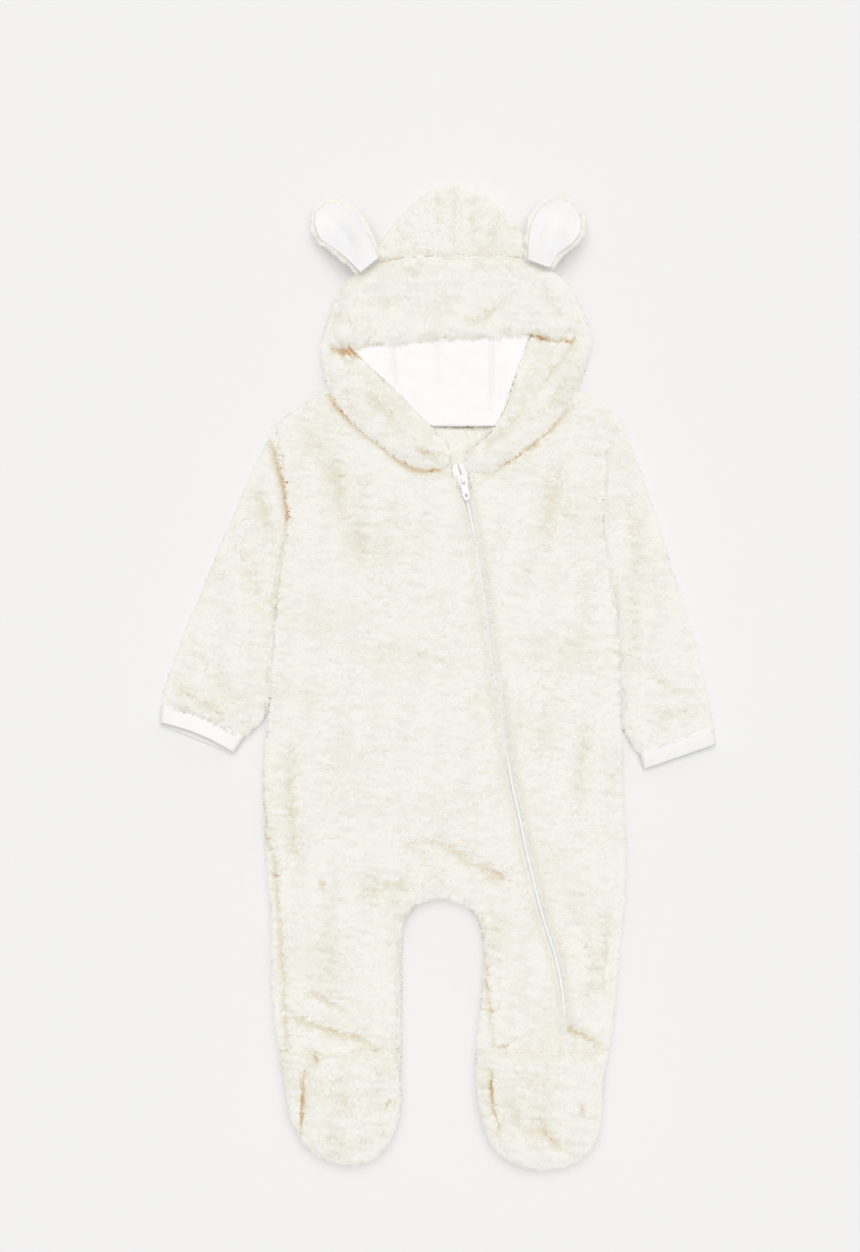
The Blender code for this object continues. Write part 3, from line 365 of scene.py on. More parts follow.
def tape_weave():
    white, shaded = (0.95, 0.95, 0.94), (0.90, 0.90, 0.885)
    finish = Finish("tape_weave", white, 0.85)
    weave = finish.waves(420, "X", turn=0.8) * 0.5 + finish.waves(420, "Y", turn=0.8) * 0.5
    finish.tint(weave, white, shaded)
    finish.relief(weave, 0.4, 0.15)
    return finish.material


def satin_plastic(name, colour, roughness):
    finish = Finish(name, colour, roughness, coat_weight=0.15)
    grain = finish.noise(1200, 2)
    finish.tint(grain, colour, tuple(c * 0.97 for c in colour))
    finish.relief(grain, 0.08, 0.05)
    return finish.material


CLOTH = plush_cloth()
# One fibre in five tones: the lighter ones vary at random, the darker ones mostly stand for painted shade in
# folds and crevices.
PILE = [
    pile_fibre("pile_ivory", (0.885, 0.875, 0.83)),
    pile_fibre("pile_cream", (0.845, 0.833, 0.775)),
    pile_fibre("pile_sand", (0.775, 0.755, 0.655)),
    pile_fibre("pile_shade_tan", (0.69, 0.60, 0.43)),
    pile_fibre("pile_shade_rust", (0.56, 0.35, 0.17)),
]
JERSEY = jersey_knit()
THREAD = satin_plastic("thread", (0.92, 0.915, 0.90), 0.7)
TAPE = tape_weave()
TEETH = satin_plastic("zip_teeth", (0.96, 0.96, 0.95), 0.4)
SLIDER = satin_plastic("slider_enamel", (0.94, 0.94, 0.935), 0.3)


# ---------------- meshes and curves


def shown(name, mesh, materials, body="garment"):
    """An object that rides on a body."""
    for material in materials:
        mesh.materials.append(material)
    obj = bpy.data.objects.new(name, mesh)
    bpy.context.scene.collection.objects.link(obj)
    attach(obj, body)
    return obj


def smooth(points, per_span=8):
    """A dense smooth line through the points."""
    p = np.array(points, float)
    p = np.vstack([2 * p[0] - p[1], p, 2 * p[-1] - p[-2]])
    t = np.linspace(0, 1, per_span, endpoint=False)[:, None]
    spans = []
    for a, b, c, d in zip(p, p[1:], p[2:], p[3:]):
        bend = (2 * a - 5 * b + 4 * c - d) * t**2 + (3 * b - a - 3 * c + d) * t**3
        spans.append(0.5 * (2 * b + (c - a) * t + bend))
    return np.vstack(spans + [p[-2:-1]])


def along_line(line):
    """The length of the line up to each of its points."""
    return np.concatenate([[0], np.cumsum(np.linalg.norm(np.diff(line, axis=0), axis=1))])


def on_line(line, s):
    """The place on a line in plan after that length of it."""
    run = along_line(line)
    return np.array([np.interp(s, run, line[:, axis]) for axis in (0, 1)])


def from_line(points, line):
    """Distance from each point to the line, and the share of the line at the nearest place."""
    best, share = np.full(len(points), np.inf), np.zeros(len(points))
    run = along_line(line)
    for k, (a, b) in enumerate(zip(line, line[1:])):
        ab = b - a
        t = np.clip(((points - a) @ ab) / max(ab @ ab, 1e-9), 0, 1)
        away = np.linalg.norm(points - a - t[:, None] * ab, axis=1)
        closer = away < best
        best[closer] = away[closer]
        share[closer] = (run[k] + t[closer] * (run[k + 1] - run[k])) / run[-1]
    return best, share


def ripple(points, length, seed, count=10):
    """A smooth random field, about -1 to 1, with waves of about that length."""
    r = np.random.default_rng(seed)
    ways = r.normal(size=(count, points.shape[1]))
    ways *= (2 * np.pi / length) * r.uniform(0.7, 1.3, count)[:, None] / np.linalg.norm(ways, axis=1)[:, None]
    return np.sin(points @ ways.T + r.uniform(0, 6.3, count)).sum(1) / np.sqrt(count)


def unit(vectors):
    return vectors / np.maximum(np.linalg.norm(vectors, axis=1), 1e-9)[:, None]


def dot(a, b):
    return (a * b).sum(1)


def fall(values, end, span):
    """1 well before the end, falling to 0 over the span that leads up to it."""
    return np.clip((end - values) / span, 0, 1)


def bell(away, half):
    """1 on a line, falling off on both sides of it."""
    return np.exp(-((away / half) ** 2))


def read(items, name, width=1, kind=np.float32):
    """One property of all the items, as an array."""
    found = np.empty(len(items) * width, kind)
    items.foreach_get(name, found)
    return found if width == 1 else found.reshape(-1, width)


def mark(mesh, name, kind, values):
    """A number or a vector kept at each vertex."""
    data = mesh.attributes.new(name, kind, "POINT").data
    data.foreach_set("value" if kind == "FLOAT" else "vector", values.astype(np.float32).ravel())


def places(mesh):
    return read(mesh.vertices, "co", 3).astype(float) / MM


def put(mesh, points):
    mesh.vertices.foreach_set("co", (points * MM).astype(np.float32).ravel())
    mesh.update()


def way_out(mesh):
    """The normal at each vertex."""
    return read(mesh.vertex_normals, "vector", 3).astype(float)


def relaxed(points, edges, rounds, share=0.5, back=0.9):
    """Points drawn towards their neighbours' middle, and partly back, so that little is lost."""
    count = len(points)
    valence = np.bincount(edges.ravel(), minlength=count)[:, None]
    for step in range(rounds):
        total = np.empty_like(points)
        for k in range(3):
            total[:, k] = np.bincount(edges[:, 0], points[edges[:, 1], k], count)
            total[:, k] += np.bincount(edges[:, 1], points[edges[:, 0], k], count)
        points = points + (total / valence - points) * (share if step % 2 == 0 else -share * back)
    return points


def mesh_from(bm, name):
    mesh = bpy.data.meshes.new(name)
    bm.to_mesh(mesh)
    bm.free()
    return mesh


def after_modifiers(mesh, modifiers):
    """The mesh as its modifiers leave it, each one given as its kind and its settings."""
    obj = bpy.data.objects.new(mesh.name, mesh)
    bpy.context.scene.collection.objects.link(obj)
    for kind, settings in modifiers:
        modifier = obj.modifiers.new(kind.lower(), kind)
        for setting, value in settings.items():
            setattr(modifier, setting, value)
    graph = bpy.context.evaluated_depsgraph_get()
    made = bpy.data.meshes.new_from_object(obj.evaluated_get(graph))
    bpy.data.objects.remove(obj)
    return made


def copied(node):
    """A bmesh of the node's solid, its loose triangles merged."""
    bm = bmesh.new()
    bm.from_mesh(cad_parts[node].data)
    bmesh.ops.remove_doubles(bm, verts=bm.verts[:], dist=0.02 * MM)
    return bm


def voxelled(node, size):
    """The node's form as an even mesh of small squares."""
    remesh = {"mode": "VOXEL", "voxel_size": size * MM, "use_smooth_shade": True}
    return after_modifiers(mesh_from(copied(node), node + "_form"), [("REMESH", remesh)])


def squared(node, pitch):
    """The node's form cut along a square grid, for thin pieces."""
    bm = copied(node)
    low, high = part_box(node)
    for axis in (0, 1):
        normal = Vector((axis == 0, axis == 1, 0))
        for place in np.arange(low[axis] + pitch * MM / 2, high[axis], pitch * MM):
            everything = bm.verts[:] + bm.edges[:] + bm.faces[:]
            bmesh.ops.bisect_plane(bm, geom=everything, dist=1e-6, plane_co=normal * place, plane_no=normal)
    bmesh.ops.remove_doubles(bm, verts=bm.verts[:], dist=0.1 * MM)
    bmesh.ops.recalc_face_normals(bm, faces=bm.faces[:])
    mesh = mesh_from(bm, node + "_form")
    mesh.shade_smooth()
    return mesh


def tree_of(meshes):
    """A search tree over several meshes, in millimetres."""
    points, faces, start = [], [], 0
    for mesh in meshes:
        mesh.calc_loop_triangles()
        points.append(places(mesh))
        faces.append(read(mesh.loop_triangles, "vertices", 3, np.int32) + start)
        start += len(mesh.vertices)
    return BVHTree.FromPolygons(np.vstack(points).tolist(), np.vstack(faces).tolist(), all_triangles=True)


def room(tree, points, ways, reach, lift=0.25):
    """How far each point can see along its way before something is met."""
    found = np.full(len(points), float(reach))
    starts = points + ways * lift
    for k, (start, way) in enumerate(zip(starts.tolist(), ways.tolist())):
        hit = tree.ray_cast(Vector(start), Vector(way), reach)
        if hit[0] is not None:
            found[k] = hit[3]
    return found


# A fold's ridges beside its trough, in its half widths and as a share of its depth, the half width of its
# line of painted shade, and how far its depth varies, over waves of that length.
RIDGE_AWAY, RIDGE_WIDTH, RIDGE_HEIGHT = 2.1, 0.9, 0.3
SHADE_WIDTH = 0.75
FOLD_UNEVEN, FOLD_WAVE = 0.3, 22


def creased(points, out, creases):
    """Points pressed into their folds, and each one's painted shade there, tan in the folds."""
    painted_shade = np.zeros(len(points))
    down = np.zeros(len(points))
    up = np.clip(out[:, 2] * 1.5, 0, 1)
    for route, width, depth, tint in creases:
        line = smooth(route, 5)
        low, high = line.min(0) - 4 * width, line.max(0) + 4 * width
        near = np.all((points[:, :2] > low) & (points[:, :2] < high), axis=1)
        away, share = from_line(points[near, :2], line)
        fade = np.sqrt(np.sin(np.pi * np.clip(0.08 + 0.84 * share, 0, 1)))
        uneven = 1 + FOLD_UNEVEN * ripple(points[near, :2], FOLD_WAVE, len(line))
        ridge = bell(away - RIDGE_AWAY * width, RIDGE_WIDTH * width)
        down[near] += depth * fade * uneven * (bell(away, width) - RIDGE_HEIGHT * ridge)
        painted_shade[near] += tint * fade * bell(away, SHADE_WIDTH * width)
    points = points.copy()
    points[:, 2] -= down * up
    return points, painted_shade


# ---------------- plush

INSET, EAR_INSET = 1.6, 0.7  # from the solid's faces in to the cloth that carries the pile
INSET_BELOW = 0.15  # the share of it where the suit rests on the floor
ROOM = 4  # nearer than this to another piece, a cloth keeps more of its solid's form
SWELLS = ((0.9, 55, 3), (0.45, 21, 4))  # the cloth's soft swells: height, length of the waves, seed
# painted shade on a cloth where another piece lies closer than ROOM
SEAM_SHADE = 0.12
TUFT = 3.8  # across a tuft
TUFT_STRETCH = np.array([0.62, 1.0, 1.0])
TUFT_ROWS = 8192  # of random numbers, which the tufts take by their place in space
TUFT_SPREAD = np.array([73856093, 19349663, 83492791])  # large primes that mix the places over the rows
FACE = (14, 262)  # the middle of the face opening
ARMHOLE = 108  # its lowest Y
STRAND_WIDTH = 1.2
CLOSING = (7.5, 3.5)  # how near the zip the pile starts to close over it, and over what span
LEVEL_FROM, LEVEL_TO = 5.5, 9  # how far from the zip the roots lie that give the closed pile its height
LEAN, FLATTEST, STEEPEST = 82, 87, 25  # of a strand, in degrees from upright
UP = np.array([0.0, 0.0, 1.0])


def plush_form(piece, others):
    """The cloth of a plush piece: its solid's form, drawn in under the pile, with its folds."""
    mesh = voxelled(piece.node, piece.voxel)
    edges = read(mesh.edges, "vertices", 2, np.int32)
    points = relaxed(places(mesh), edges, 8)
    put(mesh, points)
    out = way_out(mesh)
    free = room(others, points, out, 5, -0.2)
    below = fall(out[:, 2], -0.3, 0.4)
    inset = EAR_INSET if piece.node.startswith("ear") else INSET
    inset = inset * np.clip(free / ROOM, 0.1, 1) * (1 - (1 - INSET_BELOW) * below)
    points = points - out * inset[:, None]
    points, painted_shade = creased(points, out, CREASES.get(piece.node, []))
    swell = sum(height * ripple(points, length, seed) for height, length, seed in SWELLS)
    points[:, 2] += swell * np.clip(out[:, 2], 0, 1) * np.clip(free / ROOM, 0, 1)
    points = relaxed(points, edges, 2)
    points[:, 2] = np.maximum(points[:, 2], 0.25)
    put(mesh, points)
    # The cloth's painted shade: tan in its folds, and darker where another piece lies close.
    mark(mesh, "painted_shade", "FLOAT", np.clip(painted_shade + (1 - np.clip(free / ROOM, 0, 1)) * SEAM_SHADE, 0, 1.3))
    mesh.shade_smooth()
    out = way_out(mesh)
    mark(mesh, "custom_normal", "FLOAT_VECTOR", unit(out + np.outer(out[:, 2] > -0.3, UP)))
    return mesh


def nearest_tuft(points, size, seed):
    """The middle of the tuft that each point belongs to, and four random numbers of that tuft."""
    table = np.random.default_rng(seed).random((TUFT_ROWS, 7))
    home = np.floor(points / size).astype(np.int64)
    best = np.full(len(points), np.inf)
    middle, chance = np.zeros_like(points), np.zeros((len(points), 4))
    for step in product((-1, 0, 1), repeat=3):
        cell = home + step
        row = np.bitwise_xor.reduce(cell * TUFT_SPREAD, axis=1) % TUFT_ROWS
        place = (cell + table[row, :3]) * size
        away = ((points - place) ** 2).sum(1)
        closer = away < best
        best[closer] = away[closer]
        middle[closer] = place[closer]
        chance[closer] = table[row[closer], 3:]
    return middle, chance


def scattered(mesh, density, free):
    """Random places on a mesh's free faces: point, normal, painted shade, room. None lie under the suit."""
    mesh.calc_loop_triangles()
    corners = read(mesh.loop_triangles, "vertices", 3, np.int32)
    owner = read(mesh.loop_triangles, "polygon_index", 1, np.int32)
    points, out = places(mesh), way_out(mesh)
    painted_shade = read(mesh.attributes["painted_shade"].data, "value").astype(float)
    a, b, c = (points[corners[:, k]] for k in range(3))
    normal = np.cross(b - a, c - a)
    area = np.linalg.norm(normal, axis=1) / 2
    facing = normal[:, 2] / np.maximum(2 * area, 1e-9)
    raised = (a[:, 2] + b[:, 2] + c[:, 2]) / 3 > 9
    area = np.where((free[owner] > 0.9) & ((facing > -0.5) | raised), area, 0)
    area = np.where(np.abs(facing) < 0.5, 1.4 * area, area)
    number = int(area.sum() * density)
    chosen = rng.choice(len(corners), number, p=area / area.sum())
    u, v = rng.random(number), rng.random(number)
    turned = u + v > 1
    u[turned], v[turned] = 1 - u[turned], 1 - v[turned]
    shares = np.column_stack([1 - u - v, u, v])
    ends = corners[chosen]
    point, normal, painted_shade = (np.einsum("nk,nk...->n...", shares, values[ends]) for values in (points, out, painted_shade))
    return point, unit(normal), painted_shade, free[owner[chosen]]


def running_mean(values, count):
    before, after = count // 2, count - count // 2 - 1
    padded = np.concatenate([np.full(before, values[0]), values, np.full(after, values[-1])])
    return np.convolve(padded, np.full(count, 1 / count), "valid")


def over_zip(roots, tips, side):
    """The tips of the pile beside the zip, which close over it but where ZIP_SHOWS leaves it open."""
    away, share = from_line(roots[:, :2], smooth(ZIP_LINE + [SEAM_END], 6))
    beside = (away > LEVEL_FROM) & (away < LEVEL_TO)
    order = np.argsort(share[beside])
    level = np.interp(share, share[beside][order], running_mean(roots[beside][order, 2], 80))
    gape = np.interp(roots[:, 1], *ZIP_SHOWS)
    reach = np.clip(away - gape - rng.uniform(0, 1.3, len(roots)), 0.8, 6.5)
    across = np.array([-ZIP_WAY[1], ZIP_WAY[0]]) * side
    height = np.maximum(roots[:, 2] + 0.7, level - 1.0 + 0.8 * rng.random(len(roots)))
    target = np.column_stack([roots[:, :2] + across * reach[:, None], height])
    return tips + (target - tips) * fall(away, *CLOSING)[:, None]


def nap(piece, roots, out, chance):
    """The way that each strand leans along its cloth: in swirls with the nap, and down at the sides."""
    lay = np.array([*piece.lay, 0.0])
    facing = piece.node.startswith("hood_facing")
    if facing:
        lay = np.column_stack([roots[:, :2] - FACE, np.zeros(len(roots))])
    lay = unit(np.broadcast_to(lay, roots.shape))
    across = np.column_stack([-lay[:, 1], lay[:, 0], lay[:, 2]])
    turn = piece.swirl * ripple(roots, 34, 6) + (chance[:, 0] - 0.5) * 1.3 + rng.normal(0, 0.28, len(roots))
    way = lay * np.cos(turn)[:, None] + across * np.sin(turn)[:, None]
    push = unit(out * (1, 1, 0)) * (fall(out[:, 2], 1, 1) * 2.5)[:, None]
    if facing:
        push *= np.where(dot(push, lay) < 0, 0.1, 1)[:, None]
    wall = fall(out[:, 2], 0.75, 0.5)[:, None]
    way = (way + push) * (1 - 0.7 * wall) - UP * wall * 1.5
    return unit(way - dot(way, out)[:, None] * out)


def rising(roots, out, way, lean, space):
    """Each strand's direction: at its lean, but out and over at an edge beside another piece or the floor."""
    aside = unit(out * (1, 1, 0))
    rise = out * np.cos(lean)[:, None] + way * np.sin(lean)[:, None]
    above = out[:, 2] > -0.1
    rise[:, 2] += (np.maximum(rise[:, 2], 0.15) - rise[:, 2]) * fall(space, 12, 6) * above
    over = (fall(space, 8, 4) * above * (np.abs(out[:, 2]) < 0.87))[:, None]
    rise = unit(rise * (1 - 0.8 * over) + (aside + UP * 0.3) * over)
    low = (fall(roots[:, 2], 7, 4) * (out[:, 2] < 0.5) * (space > 8))[:, None]
    return unit(rise * (1 - 0.8 * low) + (aside - UP * 0.3) * low)


def leaves(roots, tips, out, length):
    """Each strand as a bent leaf of four corners, its broad side up: left, tip, right and root."""
    count = len(roots)
    rise = unit(tips - roots)
    facing = unit(out + UP * 0.8)
    wide = unit(np.cross(facing, rise))
    roll = rng.normal(0, 0.12, count)[:, None]
    wide = wide * np.cos(roll) + np.cross(rise, wide) * np.sin(roll)
    level = np.cross(rise, wide)[:, 2] < 0.25
    wide[level] = unit(np.cross(UP, rise[level]))
    wide *= (STRAND_WIDTH / 2 * rng.uniform(0.7, 1.2, count))[:, None]
    middles = roots + (tips - roots) * 0.45 + facing * (0.05 * length)[:, None]
    left, right = middles - wide, middles + wide
    points = np.stack([left, tips, right, roots], axis=1)
    turned = dot(np.cross(left - roots, right - roots), out * 0.5 + UP) < 0
    points[turned] = points[turned][:, [2, 1, 0, 3]]
    return points, rise


def pile_mesh(name, piece, mesh, free):
    """The piece's pile: short tapered strands that lean with the nap and gather into tufts."""
    roots, out, painted_shade, space = scattered(mesh, piece.density, free)
    count = len(roots)
    middle, chance = nearest_tuft(roots * TUFT_STRETCH, TUFT, 5)
    middle = middle / TUFT_STRETCH
    way = nap(piece, roots, out, chance)
    lean = LEAN + 5 * (chance[:, 1] - 0.5) + rng.normal(0, 2, count)
    lean = np.radians(np.clip(lean - 12 * (1 - np.abs(out[:, 2])), STEEPEST, FLATTEST))
    rise = rising(roots, out, way, lean, space)

    length = piece.pile * (0.8 + 0.35 * chance[:, 2]) * rng.uniform(0.75, 1.15, count)
    # shorter strands in the folds that the painted shade marks
    length *= 1 - 0.45 * np.clip(painted_shade, 0, 1)
    length = np.minimum(length, np.maximum(space - 0.4, 1.5) / np.cos(lean))
    lip = fall(out[:, 1], -0.2, 0.4) * (piece.node == "hood_band")  # the band's edge over the face
    length *= 1 + lip * (chance[:, 2] - 0.35) * 1.1

    tips = roots + rise * length[:, None]
    centre = middle - dot(middle - roots, out)[:, None] * out
    gathered = centre + rise * (length * 1.1)[:, None]
    tips += (gathered - tips) * (0.15 + 0.25 * chance[:, 3])[:, None]
    if piece.node in ZIP_SIDE:
        tips = over_zip(roots, tips, ZIP_SIDE[piece.node])
    tips[:, 2] = np.maximum(tips[:, 2], 0.3)
    roots = roots - out * 0.4
    points, rise = leaves(roots, tips, out, length)

    fluff = ripple(roots * (0.45, 1.5, 1), 9, 12)
    normals = shading(points, out, rise, 0.13 * fluff + 0.16 * (chance[:, 0] - 0.5))
    # Soft random patches of tone, and painted shade where the tufts' normals tilt away from the lamp.
    waves = 0.42 * ripple(roots, 60, 8) - 0.4 * fluff
    # Each strand's pile tone: painted shade in folds and crevices and on the band's lip, which faces away
    # from the lamp, with random variation.
    tone = painted_shade * 3.6 + 0.8 + waves + lip * 0.7 + (chance[:, 3] - 0.5) * 1.0 + rng.normal(0, 0.2, count)
    tone = np.clip(np.floor(tone), 0, len(PILE) - 1).astype(np.int32)
    return strands(name, points, normals, tone)


def shading(points, out, rise, tilt):
    """Normals that light the pile as one soft surface, tilted up and down the suit by tuft."""
    flat = unit(np.cross(points[:, 0] - points[:, 3], points[:, 2] - points[:, 3]))
    lit = unit(out + UP * 0.6 + np.outer(tilt, (0, 1, 0)))
    lit = unit(lit + flat * fall(dot(flat, lit), 0.6, 1)[:, None] * 2)
    return np.stack([lit, unit(lit + rise * 0.3), lit, lit], axis=1)


def strands(name, points, normals, tone):
    """A mesh of bent leaf-shaped strands, four corners each."""
    count = len(points)
    mesh = bpy.data.meshes.new(name)
    mesh.vertices.add(count * 4)
    mesh.vertices.foreach_set("co", (points * MM).astype(np.float32).ravel())
    mesh.loops.add(count * 4)
    mesh.loops.foreach_set("vertex_index", np.arange(count * 4, dtype=np.int32))
    mesh.polygons.add(count)
    mesh.polygons.foreach_set("loop_start", np.arange(count, dtype=np.int32) * 4)
    mesh.polygons.foreach_set("material_index", tone)
    mesh.update(calc_edges=True)
    mesh.shade_smooth()
    mark(mesh, "custom_normal", "FLOAT_VECTOR", normals)
    return mesh


# ---------------- knitted pieces


LINING_TUCK = 1.5  # of the lining, under the pile of the facings


def knit_form(node, pitch):
    """A thin knitted piece on its solid's form, with its folds."""
    mesh = squared(node, pitch)
    points = places(mesh)
    points, shade = creased(points, np.tile(UP, (len(points), 1)), KNIT_CREASES.get(node, []))
    points[:, 2] += 0.25 * ripple(points, 17, 5)
    if node == "hood_lining":
        edge = way_out(mesh) * (1, 1, 0)
        points += unit(edge) * (np.linalg.norm(edge, axis=1) > 0.3)[:, None] * LINING_TUCK
    # The ear inners' jersey darkened all over, in soft patches: painted shade.
    if node.startswith("ear"):
        shade += 0.4 + 0.2 * ripple(points, 30, 9)
    put(mesh, points)
    mark(mesh, "painted_shade", "FLOAT", shade)
    mesh.set_sharp_from_angle(angle=0.9)
    return mesh


def stadium(count, width, height):
    """Places round a flattened ring: along it, and up."""
    straight, round_off = width - height, np.pi * height / 2
    run = (np.arange(count) + 0.5) / count * 2 * (straight + round_off)
    ring = []
    for s in run:
        half, s = divmod(s, straight + round_off)
        if s < straight:
            x, z = s - straight / 2, height / 2
        else:
            turn = np.pi / 2 - (s - straight) / round_off * np.pi
            x, z = straight / 2 + np.cos(turn) * height / 2, np.sin(turn) * height / 2
        ring.append((-x, -z) if half else (x, z))
    return np.array(ring)


# A cuff: its seam and its open end in plan, its height at each of them, how much longer its lower layer
# is, and how far its upper layer dips at the seam.
Cuff = namedtuple("Cuff", "seam end high mouth longer dip")
CUFFS = {
    "cuff_right": Cuff([(-227, -22.5), (-201, -27.5), (-180, -37.5), (-159, -49.5)],
                       [(-228, -37.5), (-205, -44), (-186, -52), (-168, -62)], 9.6, 7.8, 4.8, 1.6),
    "cuff_left": Cuff([(165, -62.5), (185, -54.5), (205, -47.5), (225, -41.5)],
                      [(169, -76), (189, -69), (209, -62), (228, -55.5)], 9.6, 5.4, 0.9, 0.4),
}
CUFF_WALL, CUFF_RIM = 1.3, 0.35
CUFF_AROUND, CUFF_ROWS = 88, 12
FLOOR_GAP = 0.3


def cuff_form(node, cuff):
    """A cuff's binding: a flattened knitted tube with a wall and a soft rim."""
    seam, end = smooth(cuff.seam, 12), smooth(cuff.end, 12)
    away = (end - seam).mean(0)
    away = away / np.linalg.norm(away)
    bm = bmesh.new()
    rings = []
    for t in np.linspace(0, 1, CUFF_ROWS):
        line = seam + (end - seam) * t
        width = along_line(line)[-1]
        height = cuff.high + (cuff.mouth - cuff.high) * t**1.5
        ring = bmesh.ops.create_circle(bm, segments=CUFF_AROUND, radius=1)["verts"]
        for vert, (x, z) in zip(ring, stadium(CUFF_AROUND, width, height)):
            s = x + width / 2
            top = 0.5 + z / height
            middle = np.sin(np.pi * np.clip(s / width, 0, 1))
            wavy = 0.3 * np.sin(s * 0.35 + t * 2) * (0.4 + t) - cuff.dip * middle * (1 - t)
            place = on_line(line, s) + away * cuff.longer * (1 - top) * t * (0.4 + 0.6 * middle)
            vert.co = Vector((*place, FLOOR_GAP + height / 2 + z + wavy * top)) * MM
        rings.append(set(ring))
    edges = [[e for e in bm.edges if ring.issuperset(e.verts)] for ring in rings]
    for low, high in zip(edges, edges[1:]):
        bmesh.ops.bridge_loops(bm, edges=low + high)
    bmesh.ops.recalc_face_normals(bm, faces=bm.faces[:])
    wall = {"thickness": CUFF_WALL * MM, "offset": -1}
    rim = {"width": CUFF_RIM * MM, "segments": 2, "limit_method": "ANGLE", "angle_limit": 1.0}
    mesh = after_modifiers(mesh_from(bm, node + "_form"), [("SOLIDIFY", wall), ("BEVEL", rim)])
    mesh.shade_smooth()
    mark(mesh, "painted_shade", "FLOAT", np.zeros(len(mesh.vertices)))
    return mesh


# ---------------- zip and stitches

COIL_TURN, COIL_SOFT, COIL_PITCH = (2.5, 0.95, 1.5), 0.28, 0.75
COIL_TOP, COIL_STARTS = 10.65, 11.5  # its height, and its first turn along the line, under the slider
STITCH, STITCH_SOFT, STITCH_PITCH = (1.9, 0.45, 0.35), 0.12, 2.6
STITCH_ON_CUFF = 9.75
PLATE = (8, 10, 2.2)  # the slider's, across, along and high
ARCH, ARCH_RADIUS, ARCH_LEG = (2.0, 1.2), 1.85, 1.9  # the arch's strap, and how far its feet go down
TAB_THICK, TAB_SOFT = 1.4, 0.25
# The tab's outline, its eye and its hole: segments, half width, middle along the tab and half length.
TAB_LOOPS = {"edge": (48, 2.8, 7.9, 8.5), "eye": (24, 1.45, 2.2, 1.95), "hole": (24, 1.1, 12.6, 1.5)}
TAB_SQUARE, TAB_TAPER = 3.4, 0.12


def bars(name, size, soft, frames):
    """One mesh of many like bars with soft edges, each at a place, along three axes."""
    bm = bmesh.new()
    bmesh.ops.create_cube(bm, size=1)
    bmesh.ops.scale(bm, vec=size, verts=bm.verts[:])
    bmesh.ops.bevel(bm, geom=bm.edges[:], offset=soft, affect="EDGES", segments=1, profile=0.5, material=-1)
    bm.verts.index_update()
    corners = np.array([v.co[:] for v in bm.verts])
    faces = [[v.index for v in face.verts] for face in bm.faces]
    bm.free()
    points = np.vstack([place + corners @ np.array(axes) for place, axes in frames])
    rows = [[v + len(corners) * k for v in face] for k in range(len(frames)) for face in faces]
    mesh = bpy.data.meshes.new(name)
    mesh.from_pydata((points * MM).tolist(), [], rows)
    mesh.shade_smooth()
    return mesh


def zip_coil():
    """The coil's turns, left and right in step, that lie across the zip's line."""
    line = smooth(ZIP_LINE, 12)
    frames = []
    for k, s in enumerate(np.arange(COIL_STARTS, along_line(line)[-1] - 2, COIL_PITCH)):
        place = on_line(line, s)
        way = on_line(line, s + 1) - place
        way = way / np.linalg.norm(way)
        side = 1 if k % 2 else -1
        across = np.array([-way[1], way[0]]) * side
        axes = ((*across, 0.12), (*(way * -side), 0), UP)
        frames.append(((*(place + across * 0.55), COIL_TOP), axes))
    return bars("zip_coil", COIL_TURN, COIL_SOFT, frames)


def stitch_row(name, line, height):
    """Lockstitches along a line in plan, at that height."""
    frames = []
    for s in np.arange(STITCH_PITCH / 2, along_line(line)[-1], STITCH_PITCH):
        place = on_line(line, s)
        way = on_line(line, s + 0.5) - place
        way = way / np.linalg.norm(way)
        frames.append(((*place, height), ((*way, 0), (-way[1], way[0], 0), UP)))
    return bars(name, STITCH, STITCH_SOFT, frames)


def on_zip(across, along, height):
    """A place given across and down the zip from the tab's pin."""
    x = PIN[0] - ZIP_WAY[1] * across + ZIP_WAY[0] * along
    y = PIN[1] + ZIP_WAY[0] * across + ZIP_WAY[1] * along
    return (x * MM, y * MM, (PIN[2] + height) * MM)


def only(kind, items):
    return [item for item in items if isinstance(item, kind)]


